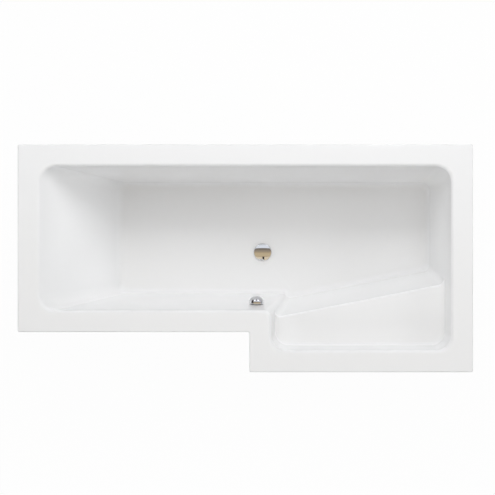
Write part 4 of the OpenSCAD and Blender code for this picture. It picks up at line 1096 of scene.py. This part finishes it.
def hex_nut(name):
    """A hexagon nut with chamfered corners on both faces."""
    corner = NUT_FLATS / 2 / cos(pi / 6)
    prism = drum(name, corner, 0, NUT_HEIGHT, 6)
    carve(prism, drum("chamfer", corner, 0, NUT_HEIGHT, 72, NUT_SLOPE), "INTERSECT")
    carve(prism, drum("bore", ROD_RADIUS + FIT, -PAST, NUT_HEIGHT + PAST, 36))
    return prism


scatter("hex_lock_nuts", hex_nut("nut_one"), "lock_nuts")

# %% [markdown]
# A threaded rod is a core with a ridge wound round it. Geometry Nodes make both: a cylinder
# for the core, and a spiral swept with a small square on its corner for the ridge. The spiral's
# normals are set upright, or the square would slowly twist on its way and the crest would come
# and go. The crest is at the rod's radius, so the rod keeps its CAD size.

# %% Geometry Nodes: a threaded rod
RIDGE = 0.00088  # half the diagonal of the ridge's square

ROD, given, result = shape_group(
    "threaded_rod", {"Radius": (FLOAT, ROD_RADIUS), "Pitch": (FLOAT, 0.00175),
                     "Depth": (FLOAT, 0.0009), "Length": (FLOAT, 0.1)})
core_radius = maths(ROD, "SUBTRACT", given["Radius"], given["Depth"])
thread_length = maths(ROD, "SUBTRACT", given["Length"],
                      maths(ROD, "MULTIPLY", given["Pitch"], 2.0))
turns = maths(ROD, "DIVIDE", thread_length, given["Pitch"])
core = add_node(ROD, "GeometryNodeMeshCylinder",
                {"Vertices": 32, "Radius": core_radius, "Depth": given["Length"]})
spiral = add_node(ROD, "GeometryNodeCurveSpiral",
                  {"Resolution": 20, "Rotations": turns, "Start Radius": core_radius,
                   "End Radius": core_radius, "Height": thread_length})
drop = add_node(ROD, "ShaderNodeCombineXYZ", {"Z": maths(ROD, "MULTIPLY", thread_length, -0.5)})
centred = add_node(ROD, "GeometryNodeTransform",
                   {"Geometry": spiral["Curve"], "Translation": drop["Vector"]})
upright = add_node(ROD, "GeometryNodeSetCurveNormal", {"Curve": centred["Geometry"]},
                   mode="Z_UP")
ridge = add_node(ROD, "GeometryNodeCurvePrimitiveCircle", {"Resolution": 4, "Radius": RIDGE})
wound = add_node(ROD, "GeometryNodeCurveToMesh",
                 {"Curve": upright["Curve"], "Profile Curve": ridge["Curve"],
                  "Fill Caps": True})
both = add_node(ROD, "GeometryNodeJoinGeometry", {"Geometry": core["Mesh"]})
feed(ROD, both[0].node, {"Geometry": wound["Mesh"]})
give_out(ROD, both["Geometry"], given["Material"], result)


# %% Wind the rods
def threaded_rod(node, body):
    """The rod of one foot, centred on its CAD box."""
    low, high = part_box(node)
    made = new_object(f"{node}_threaded", bpy.data.meshes.new(node), BRIGHT_STEEL)
    use_group(made, ROD, {"Length": high.z - low.z, "Material": BRIGHT_STEEL})
    settle(made)
    made.data.transform(Matrix.Translation(middle((low, high))))
    smooth_by_angle(made.data, 30)
    put_on(made, body, "screw_steel", node)


# %% [markdown]
# A foot is a moulded dish that spreads the load, with a neck for the rod. Eight webs between
# neck and dish stiffen it. The dish is turned, and the webs are made once and spun round it.

# %% Feet
WEBS = 8
WEB_HALF = 0.0011
NECK = ROD_RADIUS + 0.005
SOCKET_FLOOR = 0.007  # its height, on which the rod stands


def foot_pad(node, body):
    """The foot of one rod: a turned dish and neck, with webs round the neck."""
    low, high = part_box(node)
    radius = (high.x - low.x) / 2
    bore = ROD_RADIUS + FIT
    top = high.z
    profile = ([(0, 0), (radius - 0.002, 0)]
               + arc((radius - 0.002, 0.002), 0.002, -90, 0, 5)
               + arc((radius - 0.0015, 0.0035), 0.0015, 0, 70, 5)
               + [(radius - 0.007, 0.0068), (NECK + 0.004, 0.0085)]
               + arc((NECK + 0.004, 0.0125), 0.004, -90, -180, 6)
               + [(NECK, top - 0.001)]
               + arc((NECK - 0.001, top - 0.001), 0.001, 0, 90, 4)
               + [(bore, top), (bore, SOCKET_FLOOR), (0, SOCKET_FLOOR)])
    section = [(NECK - 0.001, 0.006), (radius - 0.005, 0.006), (radius - 0.0075, 0.0085),
               (NECK + 0.002, top - 0.006), (NECK - 0.001, top - 0.005)]
    centre = Matrix.Translation(((low.x + high.x) / 2, (low.y + high.y) / 2, 0))
    pad = turned(f"{node}_moulded", profile, BLACK_PLASTIC, centre, 64)
    with opened(pad.data) as work:
        for k in range(WEBS):
            turn_here = centre @ Matrix.Rotation(2 * pi * k / WEBS, 4, "Z")
            near, far = [[work.verts.new(turn_here @ Vector((r, side, z))) for r, z in section]
                         for side in (-WEB_HALF, WEB_HALF)]
            web = [work.faces.new(near), work.faces.new(list(reversed(far)))]
            for i in range(len(section)):
                j = (i + 1) % len(section)
                web.append(work.faces.new((near[j], near[i], far[i], far[j])))
            bmesh.ops.recalc_face_normals(work, faces=web)
    smooth_by_angle(pad.data)
    put_on(pad, body, "foot_plastic", node)


FEET = range(1, 6)
for i in FEET:
    threaded_rod(f"foot_rod_{i}", f"foot_{i}")
    foot_pad(f"foot_pad_{i}", f"foot_{i}")
print("feet:", len(FEET))

# %% [markdown]
# ## Studio
# A white object on white needs light with a direction, or its walls vanish. The main lamps
# are two soft boxes behind the bath, which leave its rear wall and the floor below it in
# gentle shade. Weaker ones fill from the sides and the front. For camera, mirror and glass rays
# the ground is mostly plain white, so that it looks white and a faint shadow is left.


# %% Flat shapes and direct rays
def level(across, deep, z):
    """The corners of a level rectangle, from its reach in X, its reach in Y and its height."""
    (left, right), (front, rear) = across, deep
    return [(left, front, z), (right, front, z), (right, rear, z), (left, rear, z)]


def upright_card(start, end, bottom, top):
    """The corners of an upright rectangle on the line from start to end."""
    return [(*start, bottom), (*end, bottom), (*end, top), (*start, top)]


def flat(name, corners, material):
    """A stage object with one face."""
    made = mesh_object(name, corners, [(0, 1, 2, 3)], material)
    return made


def seen_directly(tree):
    """One for camera, glossy and transmission rays, and nought for the rays that light."""
    rays = add_node(tree, "ShaderNodeLightPath")
    two = maths(tree, "ADD", rays["Is Camera Ray"], rays["Is Glossy Ray"])
    return maths(tree, "ADD", two, rays["Is Transmission Ray"], use_clamp=True)


def mix_shaders(tree, share, first, second, output):
    """Ends a tree with the first shader, and with the second by the share."""
    mixed = add_node(tree, "ShaderNodeMixShader", {"Fac": share, 1: first, 2: second})
    feed(tree, tree.nodes[output], {"Surface": mixed["Shader"]})


# %% Floor and world
GROUND_HALF = 14
GROUND_Z = -0.0003  # a hair below the feet, so that no two faces share a plane
GROUND_GLOW = 0.97  # share of plain white in what those rays see

FLOOR_WHITE = finish("floor_white", (0.82, 0.82, 0.82), 0.9,
                     sockets={"Specular IOR Level": 0.0})
tree = FLOOR_WHITE.node_tree
glow = add_node(tree, "ShaderNodeEmission", {"Color": WHITE, "Strength": 1.0})
mix_shaders(tree, maths(tree, "MULTIPLY", seen_directly(tree), GROUND_GLOW),
            tree.nodes["Principled BSDF"].outputs["BSDF"], glow["Emission"],
            "Material Output")
flat("floor", level((-GROUND_HALF, GROUND_HALF), (-GROUND_HALF, GROUND_HALF), GROUND_Z),
     FLOOR_WHITE)

world = bpy.data.worlds.new("studio")
SCENE.world = world
world.use_nodes = True
tree = world.node_tree
fill = tree.nodes["Background"]
feed(tree, fill, {"Strength": 0.0})
white = add_node(tree, "ShaderNodeBackground", {"Color": WHITE, "Strength": 1.0})
mix_shaders(tree, seen_directly(tree), fill.outputs["Background"], white["Background"],
            "World Output")

# %% Lamps
AIM = Vector((0, 0, 0.4))  # the middle of the well
LAMPS = (  # name, place, width, height and power of each rectangular lamp
    ("rear_lamp", (0, 2.0, 2.4), 2.6, 1.2, 35),
    ("rear_right_lamp", (2.4, 2.2, 2.2), 2.0, 1.6, 12),
    ("rear_ceiling_lamp", (0, 1.5, 4.2), 5.0, 2.6, 64),
    ("front_ceiling_lamp", (0, -1.6, 4.2), 5.0, 2.4, 20),
    ("front_lamp", (0, -2.4, 2.0), 2.4, 1.2, 22),
    ("right_lamp", (3.0, 0, 1.9), 2.0, 1.8, 23),
    ("left_lamp", (-3.0, 0, 1.9), 2.0, 1.8, 21))
for name, place, width, height, power in LAMPS:
    data = bpy.data.lights.new(name, "AREA")
    data.shape = "RECTANGLE"
    data.size, data.size_y = width, height
    data.energy = power
    lamp = new_object(name, data, None)
    lamp.location = place
    lamp.rotation_euler = (AIM - Vector(place)).to_track_quat("-Z", "Y").to_euler()
    lamp.visible_camera = False  # nor does a mirror see it: the cards below are for that
    lamp.visible_glossy = False
print("lamps:", len(LAMPS))

# %% [markdown]
# Polished metal shows the room around it more than its own shape. Cards that only reflections
# see stand in for that room. Overhead is a timber ceiling in brown and cream bands, which a
# domed plug gathers into stripes. Round it are the room's four pale walls. Dark cards stand for
# what was about, and two bright windows are placed where only the rounder knob can see them.

# %% Cards for the chrome
CARD_HEIGHT = 3.3
STAND_HEIGHT = CARD_HEIGHT - 0.1  # what hangs below the ceiling
CARD_HALF = 5.5  # half the width of the ceiling, and how far it reaches to the rear
ROOM_FRONT = -6.0
CEILING_BANDS = [  # how far to the rear each band of the ceiling lies, and its colour
    (ROOM_FRONT, (0.75, 0.65, 0.50)), (-1.05, (0.80, 0.68, 0.50)),
    (-0.92, (0.40, 0.29, 0.18)), (-0.80, (0.64, 0.52, 0.33)), (-0.05, (0.58, 0.46, 0.30)),
    (0.08, (0.30, 0.24, 0.17)), (0.25, (0.46, 0.38, 0.27)), (0.50, (0.26, 0.22, 0.18)),
    (0.93, (0.22, 0.19, 0.16)), (1.02, (0.90, 0.94, 1.00)), (1.85, (0.80, 0.83, 0.88)),
    (2.1, (0.45, 0.45, 0.48)), (CARD_HALF, (0.66, 0.65, 0.70))]


def card_material(name, colour):
    """A plain shining colour."""
    made = bpy.data.materials.new(name)
    made.use_nodes = True
    tree = made.node_tree
    tree.nodes.remove(tree.nodes["Principled BSDF"])
    shine = add_node(tree, "ShaderNodeEmission", {"Color": (*colour, 1)})
    feed(tree, tree.nodes["Material Output"], {"Surface": shine["Emission"]})
    return made


CEILING = card_material("timber_ceiling", (0.4, 0.3, 0.2))
tree = CEILING.node_tree
axes = add_node(tree, "ShaderNodeSeparateXYZ", {"Vector": on_object(tree)})
across = add_node(tree, "ShaderNodeMapRange", {"Value": axes["Y"],
                                               "From Min": ROOM_FRONT, "From Max": CARD_HALF})
bands = add_node(tree, "ShaderNodeValToRGB", {"Fac": across["Result"]})
ramp = bands[0].node.color_ramp.elements
while len(ramp) < len(CEILING_BANDS):
    ramp.new(1.0)
for stop, (reach, colour) in zip(ramp, CEILING_BANDS):
    stop.position = (reach - ROOM_FRONT) / (CARD_HALF - ROOM_FRONT)
    stop.color = (*colour, 1)
feed(tree, tree.nodes["Emission"], {"Color": bands["Color"]})

WALL = card_material("room_wall", (0.58, 0.565, 0.62))
DARK = card_material("dark_card", (0.035, 0.03, 0.032))
WINDOW = card_material("window_light", (2.0, 2.0, 2.0))
ROOM = [(CARD_HALF, CARD_HALF), (-CARD_HALF, CARD_HALF), (-CARD_HALF, ROOM_FRONT),
        (CARD_HALF, ROOM_FRONT)]  # its corners, which a wall joins to the next
CARDS = [("ceiling_card", level((-CARD_HALF, CARD_HALF), (ROOM_FRONT, CARD_HALF), CARD_HEIGHT),
          CEILING)]
for name, i in (("rear_wall", 0), ("front_wall", 2), ("left_wall", 1), ("right_wall", 3)):
    CARDS.append((name, upright_card(ROOM[i], ROOM[(i + 1) % 4], 0, CARD_HEIGHT), WALL))
CARDS += [
    ("camera_stand", level((0.02, 0.46), (-1.95, -0.95), STAND_HEIGHT), DARK),
    ("rear_beam", level((-0.45, 0.3), (2.1, 5.0), STAND_HEIGHT), DARK),
    ("left_screen", upright_card((-2.6, -0.8), (-2.6, 2.6), 0.75, 2.9), DARK),
    ("right_screen", upright_card((2.6, -0.6), (2.6, 0.9), 0.75, 1.3), DARK),
    ("left_window", level((-1.0, -2.6), (1.85, 4.2), STAND_HEIGHT), WINDOW),
    ("right_window", level((1.0, 2.6), (1.85, 4.2), STAND_HEIGHT), WINDOW)]
for row in CARDS:
    made = flat(*row)
    made.visible_camera = False
    made.visible_diffuse = False
    made.visible_shadow = False
    made.visible_transmission = False
print("cards:", len(CARDS), "with", len(CEILING_BANDS), "ceiling bands")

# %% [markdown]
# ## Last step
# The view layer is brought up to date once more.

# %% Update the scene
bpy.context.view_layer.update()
